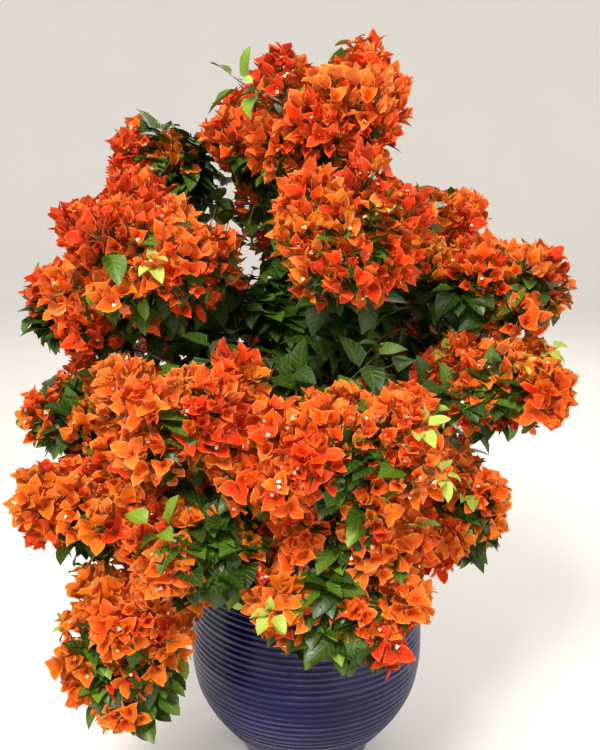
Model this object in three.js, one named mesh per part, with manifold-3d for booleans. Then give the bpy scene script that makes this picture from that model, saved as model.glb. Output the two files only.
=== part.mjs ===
// A bougainvillea bush in a ribbed glazed pot, as a three.js scene graph of named solids.
// Millimetres, +Z up. The origin is the middle of the pot's flat underside, and -Y is the plant's front.
// A short woody trunk and two canes carry boughs that arch into masses of blossom and leaf. The high
// masses rise, and the low ones hang over the pot's rim.
import * as THREE from "three";
import { mergeVertices } from "three/addons/utils/BufferGeometryUtils.js";
import Module from "manifold-3d";

const wasm = await Module();
wasm.setup();

// Clearance between pieces that touch
const GAP = 0.3;

// Pot: a round-bellied planter with throwing ribs and a plain band under the rim
const POT_HEIGHT = 450;
const POT_FOOT_RADIUS = 132;
const POT_BELLY_RADIUS = 240;
const POT_WALL = 16;
const POT_FLOOR = 24;
const POT_SIDES = 28;
const RIM_BAND = 30;
const RIM_ROUNDING = 5;
const RIB_COUNT = 12;
const RIB_DEPTH = 2.4;
const RIBS_START = 26;
const FOOT_ROUNDING = 7;
// Height as a share of the pot's, and outer radius as a share of the belly's
const BELLY_SHAPE = [
  [0, 0.55], [0.09, 0.635], [0.18, 0.765], [0.27, 0.88], [0.36, 0.957], [0.47, 0.995],
  [0.6, 1], [0.75, 0.983], [0.9, 0.963], [1, 0.955],
];
// Heights of the bends of the inner wall, from the mouth down
const BORE_SHARES = [0.72, 0.52, 0.36, 0.24, 0.14];

// Soil: fills the pot to just under its rim, flat round the trunk and settled towards the wall
const SOIL_LEVEL = 405;
const SOIL_SETTLE = 7;
const SOIL_FLAT_RADIUS = 62;

// Wood
const TRUNK_RADIUS = 18;
const TRUNK_TIP_RADIUS = 4.4;
const ROOT_FLARE = 13;
const ROOT_FLARE_SHARE = 0.12;
const ROOT_START = SOIL_LEVEL - 20;
const CANE_RADIUS = 11;
const CANE_TIP_RADIUS = 4;
const STEM_TAPER = 0.8;
const BOUGH_RADIUS = 5.6;
const BOUGH_TIP_RADIUS = 3.2;
const BOUGH_SIDES = 5;
const BOUGH_STEPS = 5;
const SHOOT_TIP_RADIUS = 1.8;
const SHOOT_SIDES = 5;
const SHOOT_STEPS = 5;
const TWIG_RADIUS = 2.4;
const TWIG_TIP_RADIUS = 1.5;

// What foliage keeps clear of
const LIMB_CLEARANCE = 2;
const POT_CLEARANCE = 6;
const GROUND_CLEARANCE = 90;
const SPACE_MARGIN = 1.2;
const GUARD_STEPS = 24;
const COVER_SPACING = 7;

// Sprays, larger than life so that a few hundred of them fill the crown: a twig that ends in three bracts
// or in three leaves. Outer radius, the share of it where the three part, how far the tips stand forward,
// and the height from the twig's end to where they part.
const BLOSSOM = { radius: 66, parting: 0.56, cup: 15, height: 14 };
const LEAF_TUFT = { radius: 70, parting: 0.4, cup: -12, height: 8 };
const SPRAY_DEPTH = 3;
const SPRAY_SIZES = [0.8, 1.15];
const SPRAY_SPACING = 44;
const LEAF = { length: 96, half: 31, broad: 0.42, fold: 0.2, droop: 0.12 };
const LEAF_SPACING = 36;
const OVERLAP_ALLOWED = 0.4;
// Corners of the small seat that a twig or leaf grows from, as shares of the corners of the face round it
const SEAT = [[0.84, 0.13, 0.03], [0.13, 0.84, 0.03], [0.39, 0.39, 0.22]];

// How a mass fills: one twig for so many millimetres of its mean half size, tried in many directions
const BLOSSOM_SHARE = 9;
const TUFT_SHARE = 13;
const DIRECTIONS_TRIED = 120;
const DIRECTION_STRIDE = 47;
const REACH_TRIED = [1, 0.93, 0.86, 0.79, 0.72, 0.64, 0.55, 0.45];
const MASS_REACH = 1.1;
const INWARD_LIMIT = -0.6;
const SHORTEST_TWIG = 22;
const TWIG_AIM = 0.3;
const TWIG_BEND = 0.4;
const TWIG_TWIST = 1.4;

// Main wood: the bends of each stem from its foot, and the mass that it runs on into
const STEMS = {
  trunk: {
    bends: [
      [-4, 4, ROOT_START], [-12, 12, 520], [10, 34, 700], [26, 16, 900], [16, -14, 1080], [20, -34, 1205],
    ],
    into: "crest", radius: TRUNK_RADIUS, tip: TRUNK_TIP_RADIUS, sides: 10, steps: 16,
  },
  cane_left: {
    bends: [[-10, 8, 478], [-66, -8, 600], [-128, 6, 800], [-176, 44, 1000], [-226, 80, 1130]],
    into: "left_shoulder", radius: CANE_RADIUS, tip: CANE_TIP_RADIUS, sides: 7, steps: 10,
  },
  cane_right: {
    bends: [[-9, 14, 508], [58, -14, 640], [116, 4, 800], [158, 40, 940], [204, 90, 1040]],
    into: "right_shoulder", radius: CANE_RADIUS, tip: CANE_TIP_RADIUS, sides: 7, steps: 10,
  },
};

// Masses: middle, half size along x, y and z, the stem that its bough leaves, how far up that stem,
// and how high the bough arches over the straight way. A leafy mass has no blossom.
const MASSES = [
  { name: "crest", at: [40, -96, 1292], half: [162, 132, 120] },
  { name: "left_shoulder", at: [-268, 112, 1216], half: [130, 124, 118] },
  { name: "right_shoulder", at: [250, 150, 1086], half: [134, 130, 112] },
  { name: "crest_back", at: [-62, 140, 1250], half: [156, 130, 122], from: "trunk", up: 0.6, arch: 40 },
  { name: "left_high", at: [-240, -190, 1050], half: [166, 134, 136], from: "cane_left", up: 0.55, arch: 80 },
  { name: "centre_high", at: [52, -250, 1110], half: [134, 118, 112], from: "trunk", up: 0.52, arch: 70 },
  { name: "right_high", at: [352, -66, 1000], half: [176, 142, 116], from: "cane_right", up: 0.55, arch: 70 },
  { name: "left_side", at: [-448, 30, 940], half: [132, 140, 108], from: "cane_left", up: 0.42, arch: 90 },
  { name: "right_mid", at: [318, -144, 828], half: [156, 124, 106], from: "cane_right", up: 0.36, arch: 70 },
  { name: "left_low", at: [-420, -74, 760], half: [156, 122, 106], from: "cane_left", up: 0.3, arch: 90 },
  { name: "centre_left", at: [-196, -316, 828], half: [146, 124, 114], from: "cane_left", up: 0.2, arch: 110 },
  { name: "centre_mid", at: [52, -358, 794], half: [170, 122, 122], from: "trunk", up: 0.34, arch: 110 },
  { name: "left_skirt", at: [-376, -204, 616], half: [140, 118, 106], from: "cane_left", up: 0.14, arch: 130 },
  { name: "skirt_left", at: [-154, -336, 614], half: [152, 116, 122], from: "trunk", up: 0.24, arch: 120 },
  { name: "skirt_centre", at: [44, -350, 536], half: [168, 112, 178], from: "trunk", up: 0.19, arch: 150 },
  { name: "right_skirt", at: [286, -104, 586], half: [122, 122, 156], from: "cane_right", up: 0.2, arch: 120 },
  { name: "left_tail", at: [-322, -286, 392], half: [124, 112, 206], from: "cane_left", up: 0.07, arch: 210 },
  { name: "heart", at: [14, -50, 950], half: [186, 140, 128], from: "trunk", up: 0.42, arch: 10, leafy: true },
  { name: "back_high", at: [34, 300, 1056], half: [172, 124, 130], from: "trunk", up: 0.46, arch: 60 },
  { name: "back_left", at: [-250, 256, 900], half: [158, 136, 132], from: "cane_left", up: 0.36, arch: 80 },
  { name: "back_right", at: [264, 254, 846], half: [160, 136, 132], from: "cane_right", up: 0.3, arch: 80 },
  { name: "back_mid", at: [2, 380, 790], half: [160, 112, 136], from: "trunk", up: 0.3, arch: 90 },
  { name: "back_low_left", at: [-236, 272, 602], half: [152, 122, 126], from: "trunk", up: 0.22, arch: 110 },
  { name: "back_low_right", at: [214, 290, 560], half: [160, 120, 130], from: "cane_right", up: 0.12, arch: 99 },
];

const MATERIALS = {
  glaze: new THREE.MeshStandardMaterial({ color: 0x1b1b52, roughness: 0.22, metalness: 0 }),
  soil: new THREE.MeshStandardMaterial({ color: 0x2f2219, roughness: 0.95, metalness: 0 }),
  bark: new THREE.MeshStandardMaterial({ color: 0x6d5a45, roughness: 0.85, metalness: 0 }),
  blossom: new THREE.MeshStandardMaterial({ color: 0xee5a14, roughness: 0.6, metalness: 0 }),
  leaf: new THREE.MeshStandardMaterial({ color: 0x2f6a24, roughness: 0.5, metalness: 0 }),
};

/** A repeatable stream of numbers from 0 to 1. */
function seeded(seed) {
  let state = seed >>> 0;
  return () => {
    state = (Math.imul(state, 1664525) + 1013904223) >>> 0;
    return state / 4294967296;
  };
}

/** A closed geometry as a solid that can be joined and cut. */
function solid(geometry) {
  const bare = new THREE.BufferGeometry();
  bare.setAttribute("position", geometry.getAttribute("position"));
  bare.setIndex(geometry.index);
  const merged = mergeVertices(bare, 1e-3);
  return new wasm.Manifold(
    new wasm.Mesh({
      numProp: 3,
      vertProperties: new Float32Array(merged.attributes.position.array),
      triVerts: new Uint32Array(merged.index.array),
    }),
  );
}

/** A solid as a geometry again. */
function geometryOf(body) {
  const mesh = body.getMesh();
  const geometry = new THREE.BufferGeometry();
  geometry.setAttribute("position", new THREE.BufferAttribute(new Float32Array(mesh.vertProperties), 3));
  geometry.setIndex(new THREE.BufferAttribute(new Uint32Array(mesh.triVerts), 1));
  return geometry;
}

/** The largest body of a solid: a cut can leave loose scraps beside it. */
function largest(body) {
  return body.decompose().reduce((most, part) => (part.volume() > most.volume() ? part : most));
}

/** A turned shape from [radius, height] points that start and end on the axis, standing along +Z. */
function turned(profile) {
  const points = profile.map(([r, z]) => new THREE.Vector2(r, z));
  return new THREE.LatheGeometry(points, POT_SIDES).rotateX(Math.PI / 2);
}

const bellyCurve = new THREE.SplineCurve(
  BELLY_SHAPE.map(([h, r]) => new THREE.Vector2(h * POT_HEIGHT, r * POT_BELLY_RADIUS)),
);
const bellyPoints = bellyCurve.getPoints(120);

/** The pot's outer radius at a height, over its ribs. */
function potRadius(height) {
  const next = bellyPoints.findIndex((p) => p.x >= height);
  if (next === 0) return bellyPoints[0].y;
  if (next < 0) return bellyPoints.at(-1).y;
  const [a, b] = [bellyPoints[next - 1], bellyPoints[next]];
  return a.y + ((b.y - a.y) * (height - a.x)) / (b.x - a.x);
}

/** The inner wall's corners as [radius, height], from the mouth down to the floor, shrunk by a clearance. */
function borePoints(shrink) {
  const bore = (height) => potRadius(height) - POT_WALL - RIB_DEPTH - shrink;
  const heights = [POT_HEIGHT - RIM_ROUNDING, ...BORE_SHARES.map((share) => share * POT_HEIGHT)];
  const floor = POT_FLOOR + shrink;
  return [...heights.map((height) => [bore(height), height]), [bore(floor) - 10, floor]];
}

function potGeometry() {
  const profile = [[0, 0], [POT_FOOT_RADIUS, 0], [POT_FOOT_RADIUS + 6, FOOT_ROUNDING]];
  const ribsEnd = POT_HEIGHT - RIM_BAND;
  const pitch = (ribsEnd - RIBS_START) / RIB_COUNT;
  for (let rib = 0; rib < RIB_COUNT; rib++) {
    const low = RIBS_START + rib * pitch;
    profile.push([potRadius(low) - RIB_DEPTH, low]);
    profile.push([potRadius(low + pitch / 2), low + pitch / 2]);
  }
  const lip = potRadius(POT_HEIGHT);
  profile.push([lip - RIB_DEPTH, ribsEnd], [lip + 1, ribsEnd + RIM_ROUNDING]);
  profile.push([lip + 1, POT_HEIGHT - RIM_ROUNDING], [lip - RIM_ROUNDING, POT_HEIGHT]);
  profile.push([lip - POT_WALL, POT_HEIGHT], ...borePoints(0), [0, POT_FLOOR]);
  return turned(profile);
}

function soilGeometry() {
  const wall = borePoints(2 * GAP).reverse();
  const edge = SOIL_LEVEL - SOIL_SETTLE;
  const below = wall.filter(([, height]) => height < edge);
  const [low, high] = [below.at(-1), wall[below.length]];
  const edgeRadius = low[0] + ((high[0] - low[0]) * (edge - low[1])) / (high[1] - low[1]);
  const top = [[edgeRadius, edge], [SOIL_FLAT_RADIUS, SOIL_LEVEL], [0, SOIL_LEVEL]];
  return turned([[0, wall[0][1]], ...below, ...top]);
}

/** The part of a curve between two shares of its length, with the whole curve's directions at its ends. */
class Stretch extends THREE.Curve {
  constructor(whole, start, end) {
    super();
    Object.assign(this, { whole, start, end });
  }

  getPoint(t) {
    return this.whole.getPointAt(this.start + (this.end - this.start) * t);
  }

  getTangent(t) {
    return this.whole.getTangentAt(this.start + (this.end - this.start) * t);
  }
}

/** A round limb along a curve, with a radius that changes along it and flat ends. */
function limb(curve, radiusAt, sides, steps) {
  const geometry = new THREE.CylinderGeometry(1, 1, 1, sides, steps);
  const frames = curve.computeFrenetFrames(steps, false);
  const position = geometry.getAttribute("position");
  for (let i = 0; i < position.count; i++) {
    const step = Math.round((position.getY(i) + 0.5) * steps);
    const radius = radiusAt(step / steps);
    const point = curve.getPointAt(step / steps);
    point.addScaledVector(frames.binormals[step], position.getX(i) * radius);
    point.addScaledVector(frames.normals[step], position.getZ(i) * radius);
    position.setXYZ(i, point.x, point.y, point.z);
  }
  return geometry;
}

/** The short straight stretches of a limb, each with its thicker end's radius, to keep other things clear. */
function guard(curve, radiusAt) {
  return Array.from({ length: GUARD_STEPS }, (_, i) => {
    const [from, to] = [i / GUARD_STEPS, (i + 1) / GUARD_STEPS];
    return { line: new THREE.Line3(curve.getPointAt(from), curve.getPointAt(to)), radius: radiusAt(from) };
  });
}

const nearest = new THREE.Vector3();

/** The distance from a point to the surface of a guarded stretch. */
function clearance(point, stretch) {
  stretch.line.closestPointToPoint(point, true, nearest);
  return nearest.distanceTo(point) - stretch.radius;
}

/** A mass of foliage: how far it reaches, and the space between the planes that part it from the others. */
class Mass {
  constructor({ name, at, half, from = null, up = 0, arch = 0, leafy = false }) {
    Object.assign(this, { name, from, up, arch, leafy });
    this.centre = new THREE.Vector3(...at);
    this.half = new THREE.Vector3(...half);
    this.meanHalf = (half[0] + half[1] + half[2]) / 3;
    this.outward = this.centre.clone().setZ(0).normalize();
  }

  /** How far inside the mass's space a point is. */
  roomInside(point) {
    let room = Infinity;
    for (const other of masses) {
      if (other === this) continue;
      const own = point.distanceToSquared(this.centre) - this.meanHalf ** 2;
      const theirs = point.distanceToSquared(other.centre) - other.meanHalf ** 2;
      room = Math.min(room, (theirs - own) / (2 * other.centre.distanceTo(this.centre)));
    }
    return room;
  }

  /** A point's distance from the middle as a share of the mass's reach that way. */
  shareOut(point) {
    return point.clone().sub(this.centre).divide(this.half).length();
  }

  /** The point at a share of the mass's reach in a direction. */
  pointAt(way, share) {
    return way.clone().multiply(this.half).multiplyScalar(share).add(this.centre);
  }

  /** Where the mass's shoot ends: low shoots hang down, and high ones rise. */
  shootEnd(from) {
    const outward = this.centre.clone().sub(from).setZ(0).normalize();
    const end = this.centre.clone().addScaledVector(outward, this.half.x * 0.3);
    end.z += this.half.z * THREE.MathUtils.clamp((this.centre.z - 950) / 350, -0.65, 0.6);
    return end;
  }

  /** Parts a limb's whole curve at the place where it is well inside the mass: wood before, shoot after. */
  part(whole, earliest, radius) {
    let share = earliest;
    const inside = (point) => this.roomInside(point) > 10 && this.shareOut(point) < 0.72;
    while (share < 0.75 && !inside(whole.getPointAt(share))) share += 0.01;
    this.shoot = new Stretch(whole, share + GAP / whole.getLength(), 1);
    this.shootRadius = radius;
    return new Stretch(whole, 0, share);
  }
}

/** Stems: the trunk with its root flare, and the canes cut where they leave it. */
function makeStems() {
  const made = {};
  for (const [name, { bends, into, radius, tip, sides, steps }] of Object.entries(STEMS)) {
    const mass = masses.find((one) => one.name === into);
    const points = bends.map((bend) => new THREE.Vector3(...bend));
    const whole = new THREE.CatmullRomCurve3([...points, mass.centre, mass.shootEnd(points[0])]);
    whole.arcLengthDivisions = 800;
    const curve = mass.part(whole, 0.6, tip);
    const flare = (t) => (name === "trunk" ? ROOT_FLARE * Math.max(0, 1 - t / ROOT_FLARE_SHARE) ** 2 : 0);
    const radiusAt = (t) => THREE.MathUtils.lerp(radius, tip, t ** STEM_TAPER) + flare(t);
    const sleeve = solid(limb(curve, (t) => radiusAt(t) + GAP, sides, steps));
    let body = solid(limb(curve, radiusAt, sides, steps));
    if (name === "trunk") {
      // The root flare ends in a flat cut on the soil
      const slab = new THREE.BoxGeometry(400, 400, 60).translate(0, 0, SOIL_LEVEL + GAP - 30);
      body = body.subtract(solid(slab));
    } else {
      body = largest(body.subtract(made.trunk.sleeve));
    }
    made[name] = { curve, body, sleeve, guarded: guard(curve, radiusAt) };
  }
  return made;
}

/** The bough to a mass: off its stem, up over an arch, and into the mass, where the shoot goes on. */
function makeBough(mass, stem) {
  const start = stem.curve.getPointAt(mass.up);
  const middle = start.clone().lerp(mass.centre, 0.5);
  middle.z += mass.arch;
  const whole = new THREE.CatmullRomCurve3([start, middle, mass.centre, mass.shootEnd(start)]);
  const curve = mass.part(whole, 0.2, BOUGH_TIP_RADIUS);
  const radiusAt = (t) => THREE.MathUtils.lerp(BOUGH_RADIUS, BOUGH_TIP_RADIUS, t);
  const body = largest(solid(limb(curve, radiusAt, BOUGH_SIDES, BOUGH_STEPS)).subtract(stem.sleeve));
  return { body, guarded: guard(curve, radiusAt) };
}

/** A closed mesh that grows: a limb first, then twigs and leaves that each take the place of a small face. */
class Growth {
  points = [];
  faces = [];

  add(point) {
    return this.points.push(point.clone()) - 1;
  }

  /** Joins two rings of as many points by side faces, and returns those faces. */
  bridge(from, to) {
    const made = [];
    from.forEach((corner, k) => {
      const next = (k + 1) % from.length;
      made.push([corner, from[next], to[next]], [corner, to[next], to[k]]);
    });
    this.faces.push(...made);
    return made;
  }

  /** Closes a ring of points, at the back of its limb or at the front. */
  cap(ring, back) {
    for (let k = 1; k + 1 < ring.length; k++) {
      this.faces.push(back ? [ring[0], ring[k + 1], ring[k]] : [ring[0], ring[k], ring[k + 1]]);
    }
  }

  /** A face with its short edge first, the corners of the small seat inside it, and the way it looks. */
  seatIn(face) {
    const spans = face.map((corner, k) => this.points[corner].distanceTo(this.points[face[(k + 1) % 3]]));
    const first = spans.indexOf(Math.min(...spans));
    const order = [0, 1, 2].map((k) => face[(first + k) % 3]);
    const [a, b, c] = order.map((corner) => this.points[corner]);
    const mixed = ([u, v, w]) => a.clone().multiplyScalar(u).addScaledVector(b, v).addScaledVector(c, w);
    const corners = SEAT.map(mixed);
    const middle = corners[0].clone().add(corners[1]).add(corners[2]).divideScalar(3);
    const facing = b.clone().sub(a).cross(c.clone().sub(a)).normalize();
    return { face, order, corners, middle, facing };
  }

  /** Grows a shape from a seat, by its rule. */
  plant(seat, rule) {
    this.faces.splice(this.faces.indexOf(seat.face), 1);
    const ring = seat.corners.map((corner) => this.add(corner));
    this.bridge(seat.order, ring);
    return rule(this, ring);
  }

  /** The shape that would grow from a seat, closed by itself, to test whether there is room for it. */
  static cutting(seat, rule) {
    const growth = new Growth();
    const ring = seat.corners.map((corner) => growth.add(corner));
    growth.cap(ring, true);
    rule(growth, ring);
    return growth.geometry();
  }

  geometry() {
    const geometry = new THREE.BufferGeometry();
    const position = new Float32Array(this.points.flatMap((point) => point.toArray()));
    geometry.setAttribute("position", new THREE.BufferAttribute(position, 3));
    geometry.setIndex(this.faces.flat());
    return geometry;
  }
}

/**
 * A rule that grows a three-sided twig along a curve and flares its end into a three-pointed spray.
 * It returns the faces past the twig's bend that a leaf can grow from.
 */
function sprayRule(curve, spray, size, twist) {
  const { normals, binormals, tangents } = curve.computeFrenetFrames(2, false);
  return (growth, base) => {
    const middle = new THREE.Vector3();
    for (const corner of base) middle.addScaledVector(growth.points[corner], 1 / base.length);
    const first = growth.points[base[0]].clone().sub(middle);
    const start = Math.atan2(first.dot(binormals[1]), first.dot(normals[1]));
    const ringOf = (centre, frame, radius, turns) => turns.map((turn) => {
      const angle = start + (twist * frame) / 2 + (turn * Math.PI) / 3;
      const point = centre.clone().addScaledVector(normals[frame], radius * Math.cos(angle));
      return growth.add(point.addScaledVector(binormals[frame], radius * Math.sin(angle)));
    });
    const bend = ringOf(curve.getPointAt(0.5), 1, TWIG_RADIUS, [0, 2, 4]);
    const end = ringOf(curve.getPointAt(1), 2, TWIG_TIP_RADIUS, [0, 2, 4]);
    growth.bridge(base, bend);
    const sides = growth.bridge(bend, end);
    const forward = (height) => curve.getPointAt(1).addScaledVector(tangents[2], height * size);
    const reach = spray.radius * size;
    const tips = ringOf(forward(spray.height + spray.cup), 2, reach, [0, 2, 4]);
    const partings = ringOf(forward(spray.height), 2, reach * spray.parting, [1, 3, 5]);
    const throat = growth.add(forward(spray.height - SPRAY_DEPTH));
    for (let k = 0; k < 3; k++) {
      const next = (k + 1) % 3;
      growth.faces.push([end[k], end[next], partings[k]], [end[k], partings[k], tips[k]]);
      growth.faces.push([end[next], tips[next], partings[k]]);
      growth.faces.push([throat, tips[k], partings[k]], [throat, partings[k], tips[next]]);
    }
    return sides.filter((_, k) => k % 2 === 0);
  };
}

/** A rule that grows a folded, drooping leaf along a direction. */
function leafRule(direction, size) {
  const across = new THREE.Vector3(0, 0, 1).cross(direction).normalize();
  const upward = direction.clone().cross(across);
  return (growth, base) => {
    const height = (k) => growth.points[base[k]].dot(upward);
    const first = [0, 1, 2].reduce((best, k) => (height(k) > height(best) ? k : best));
    const [top, right, left] = [0, 1, 2].map((k) => base[(first + k) % 3]);
    const at = (along, side, lift) => {
      const point = growth.points[top].clone().addScaledVector(direction, along * size);
      return growth.add(point.addScaledVector(across, side * size).addScaledVector(upward, lift * size));
    };
    const leftEdge = at(LEAF.length * LEAF.broad, LEAF.half, LEAF.half * LEAF.fold);
    const rightEdge = at(LEAF.length * LEAF.broad, -LEAF.half, LEAF.half * LEAF.fold);
    const tip = at(LEAF.length, 0, -LEAF.length * LEAF.droop);
    growth.faces.push([top, tip, leftEdge], [top, rightEdge, tip], [right, tip, rightEdge]);
    growth.faces.push([left, leftEdge, tip], [right, left, tip]);
    growth.faces.push([top, right, rightEdge], [top, leftEdge, left]);
  };
}

/** Points all over a shape of flat faces, close enough together that no limb passes between them. */
function covering(geometry) {
  const position = geometry.getAttribute("position");
  const found = [];
  const corners = [0, 1, 2].map(() => new THREE.Vector3());
  for (let f = 0; f < geometry.index.count; f += 3) {
    corners.forEach((corner, k) => corner.fromBufferAttribute(position, geometry.index.getX(f + k)));
    const longest = Math.max(...corners.map((corner, k) => corner.distanceTo(corners[(k + 1) % 3])));
    const steps = Math.ceil(longest / COVER_SPACING);
    for (let i = 0; i <= steps; i++) {
      for (let j = 0; j <= steps - i; j++) {
        const point = corners[0].clone().multiplyScalar(1 - (i + j) / steps);
        found.push(point.addScaledVector(corners[1], i / steps).addScaledVector(corners[2], j / steps));
      }
    }
  }
  return found;
}

/** True where a point hangs clear of the pot and the ground. */
function clearOfPot(point) {
  if (point.z < GROUND_CLEARANCE) return false;
  if (point.z > POT_HEIGHT + POT_CLEARANCE) return true;
  return Math.hypot(point.x, point.y) > potRadius(point.z) + POT_CLEARANCE;
}

/** True where a shape stays in its mass's space and touches no limb, pot or ground. */
function fits(mass, geometry, limbs) {
  const position = geometry.getAttribute("position");
  for (let i = 0; i < position.count; i++) {
    const point = new THREE.Vector3().fromBufferAttribute(position, i);
    if (mass.roomInside(point) < SPACE_MARGIN || mass.shareOut(point) > MASS_REACH) return false;
  }
  geometry.computeBoundingSphere();
  const { center, radius } = geometry.boundingSphere;
  const near = limbs.filter((stretch) => clearance(center, stretch) < radius + LIMB_CLEARANCE);
  return covering(geometry).every(
    (point) => clearOfPot(point) && near.every((stretch) => clearance(point, stretch) > LIMB_CLEARANCE),
  );
}

/** Directions spread evenly over a ball by the golden angle, far apart in turn, with a little chance. */
function directions(random) {
  return Array.from({ length: DIRECTIONS_TRIED }, (_, k) => {
    const n = (k * DIRECTION_STRIDE) % DIRECTIONS_TRIED;
    const z = 1 - (2 * (n + 0.5)) / DIRECTIONS_TRIED;
    const turn = n * Math.PI * (3 - Math.sqrt(5)) + random() * 0.5;
    const flat = Math.sqrt(1 - z * z);
    return new THREE.Vector3(flat * Math.cos(turn), flat * Math.sin(turn), z);
  });
}

/** The growing of one mass: its shoot, sprays on twigs off the shoot, and a leaf on each twig. */
class MassGrower {
  constructor(mass, limbs, random) {
    Object.assign(this, { mass, limbs, random });
    this.growth = new Growth();
    this.spray = mass.leafy ? LEAF_TUFT : BLOSSOM;
    this.free = this.growShoot();
    this.grown = [{ centre: new THREE.Vector3(Infinity, 0, 0), body: solid(this.growth.geometry()) }];
  }

  /** Grows the shoot and returns its side faces. */
  growShoot() {
    const { shoot, shootRadius } = this.mass;
    const frames = shoot.computeFrenetFrames(SHOOT_STEPS, false);
    const rings = Array.from({ length: SHOOT_STEPS + 1 }, (_, step) => {
      const radius = THREE.MathUtils.lerp(shootRadius, SHOOT_TIP_RADIUS, step / SHOOT_STEPS);
      return Array.from({ length: SHOOT_SIDES }, (_, side) => {
        const angle = (2 * Math.PI * side) / SHOOT_SIDES;
        const point = shoot.getPointAt(step / SHOOT_STEPS);
        point.addScaledVector(frames.normals[step], radius * Math.cos(angle));
        return this.growth.add(point.addScaledVector(frames.binormals[step], radius * Math.sin(angle)));
      });
    });
    this.growth.cap(rings[0], true);
    this.growth.cap(rings.at(-1), false);
    return rings.slice(1).flatMap((ring, k) => this.growth.bridge(rings[k], ring));
  }

  /** Grows a shape where it fits its mass, stands apart from the others and cuts none of them. */
  tryGrowing(seat, rule, centre, spacing) {
    if (this.grown.some((other) => other.centre.distanceTo(centre) < spacing)) return null;
    const shape = Growth.cutting(seat, rule);
    if (!fits(this.mass, shape, this.limbs)) return null;
    const body = solid(shape);
    if (this.grown.some((other) => other.body.intersect(body).volume() > OVERLAP_ALLOWED)) return null;
    this.grown.push({ centre, body });
    return this.growth.plant(seat, rule) ?? [];
  }

  /** The seat on a free face of the shoot that looks best towards a tip. */
  bestSeat(tip, outward) {
    let best = null;
    for (const face of this.free) {
      const seat = this.growth.seatIn(face);
      const aim = tip.clone().sub(seat.middle);
      const length = aim.length();
      aim.divideScalar(length);
      const score = aim.dot(seat.facing) + 0.5 * aim.dot(outward) - length / 400;
      const usable = aim.dot(seat.facing) > TWIG_AIM && length > SHORTEST_TWIG;
      if (usable && (!best || score > best.score)) best = { seat, score, length };
    }
    return best;
  }

  /** Grows a spray as far out in a direction as it fits, and a leaf on its twig. True if it did. */
  growSpray(way) {
    const twist = (this.random() - 0.5) * TWIG_TWIST;
    const size = THREE.MathUtils.lerp(...SPRAY_SIZES, this.random());
    if (!this.mass.leafy && way.dot(this.mass.outward) < INWARD_LIMIT) return false;
    // Sprays open away from the mass's middle and the plant's, and up to the light
    const outward = way.clone().addScaledVector(this.mass.outward, 0.5);
    outward.z += 0.3;
    outward.normalize();
    for (const reach of REACH_TRIED) {
      const centre = this.mass.pointAt(way, reach);
      const tip = centre.clone().addScaledVector(outward, -this.spray.height * size);
      const best = this.bestSeat(tip, outward);
      if (!best) continue;
      const middle = tip.clone().addScaledVector(outward, -TWIG_BEND * best.length);
      const curve = new THREE.QuadraticBezierCurve3(best.seat.middle, middle, tip);
      const rule = sprayRule(curve, this.spray, size, twist);
      const bends = this.tryGrowing(best.seat, rule, centre, SPRAY_SPACING);
      if (!bends) continue;
      this.free.splice(this.free.indexOf(best.seat.face), 1);
      bends.some((bend) => this.growLeaf(bend, outward, size));
      return true;
    }
    return false;
  }

  /** Grows a leaf from a face of a twig, out and a little down. True if it fits. */
  growLeaf(face, outward, size) {
    const seat = this.growth.seatIn(face);
    const direction = seat.facing.clone().addScaledVector(outward, 0.45);
    direction.z -= 0.2;
    direction.normalize();
    if (Math.abs(direction.z) > 0.9 || direction.dot(seat.facing) < TWIG_AIM) return false;
    const centre = seat.middle.clone().addScaledVector(direction, LEAF.length * 0.45);
    return this.tryGrowing(seat, leafRule(direction, size), centre, LEAF_SPACING) !== null;
  }

  grow() {
    let wanted = Math.round(this.mass.meanHalf / (this.mass.leafy ? TUFT_SHARE : BLOSSOM_SHARE));
    for (const way of directions(this.random)) {
      if (wanted === 0) break;
      if (this.growSpray(way)) wanted--;
    }
    return this.growth.geometry();
  }
}

const plant = new THREE.Group();

function addNode(name, geometry, material) {
  const mesh = new THREE.Mesh(geometry, material);
  mesh.name = name;
  plant.add(mesh);
}

const masses = MASSES.map((row) => new Mass(row));
addNode("pot", potGeometry(), MATERIALS.glaze);
addNode("soil", soilGeometry(), MATERIALS.soil);

const stems = makeStems();
const limbs = [];
for (const [name, stem] of Object.entries(stems)) {
  limbs.push(...stem.guarded);
  addNode(name, geometryOf(stem.body), MATERIALS.bark);
}
for (const mass of masses.filter((one) => one.from)) {
  const bough = makeBough(mass, stems[mass.from]);
  limbs.push(...bough.guarded);
  addNode(`bough_${mass.name}`, geometryOf(bough.body), MATERIALS.bark);
}
masses.forEach((mass, index) => {
  const grower = new MassGrower(mass, limbs, seeded(1000 + 77 * index));
  addNode(`mass_${mass.name}`, grower.grow(), mass.leafy ? MATERIALS.leaf : MATERIALS.blossom);
});

export default plant;
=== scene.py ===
"""A bougainvillea bush in a ribbed, glazed pot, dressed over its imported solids.

Metres, +Z up. The origin is the middle of the pot's flat underside, and the plant's front
looks towards -Y.
"""

import logging
import math
from collections.abc import Iterator
from dataclasses import dataclass, field
from enum import Enum
from typing import ClassVar

import bmesh
import bpy
import numpy as np
from mathutils import Matrix, Vector, noise


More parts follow.
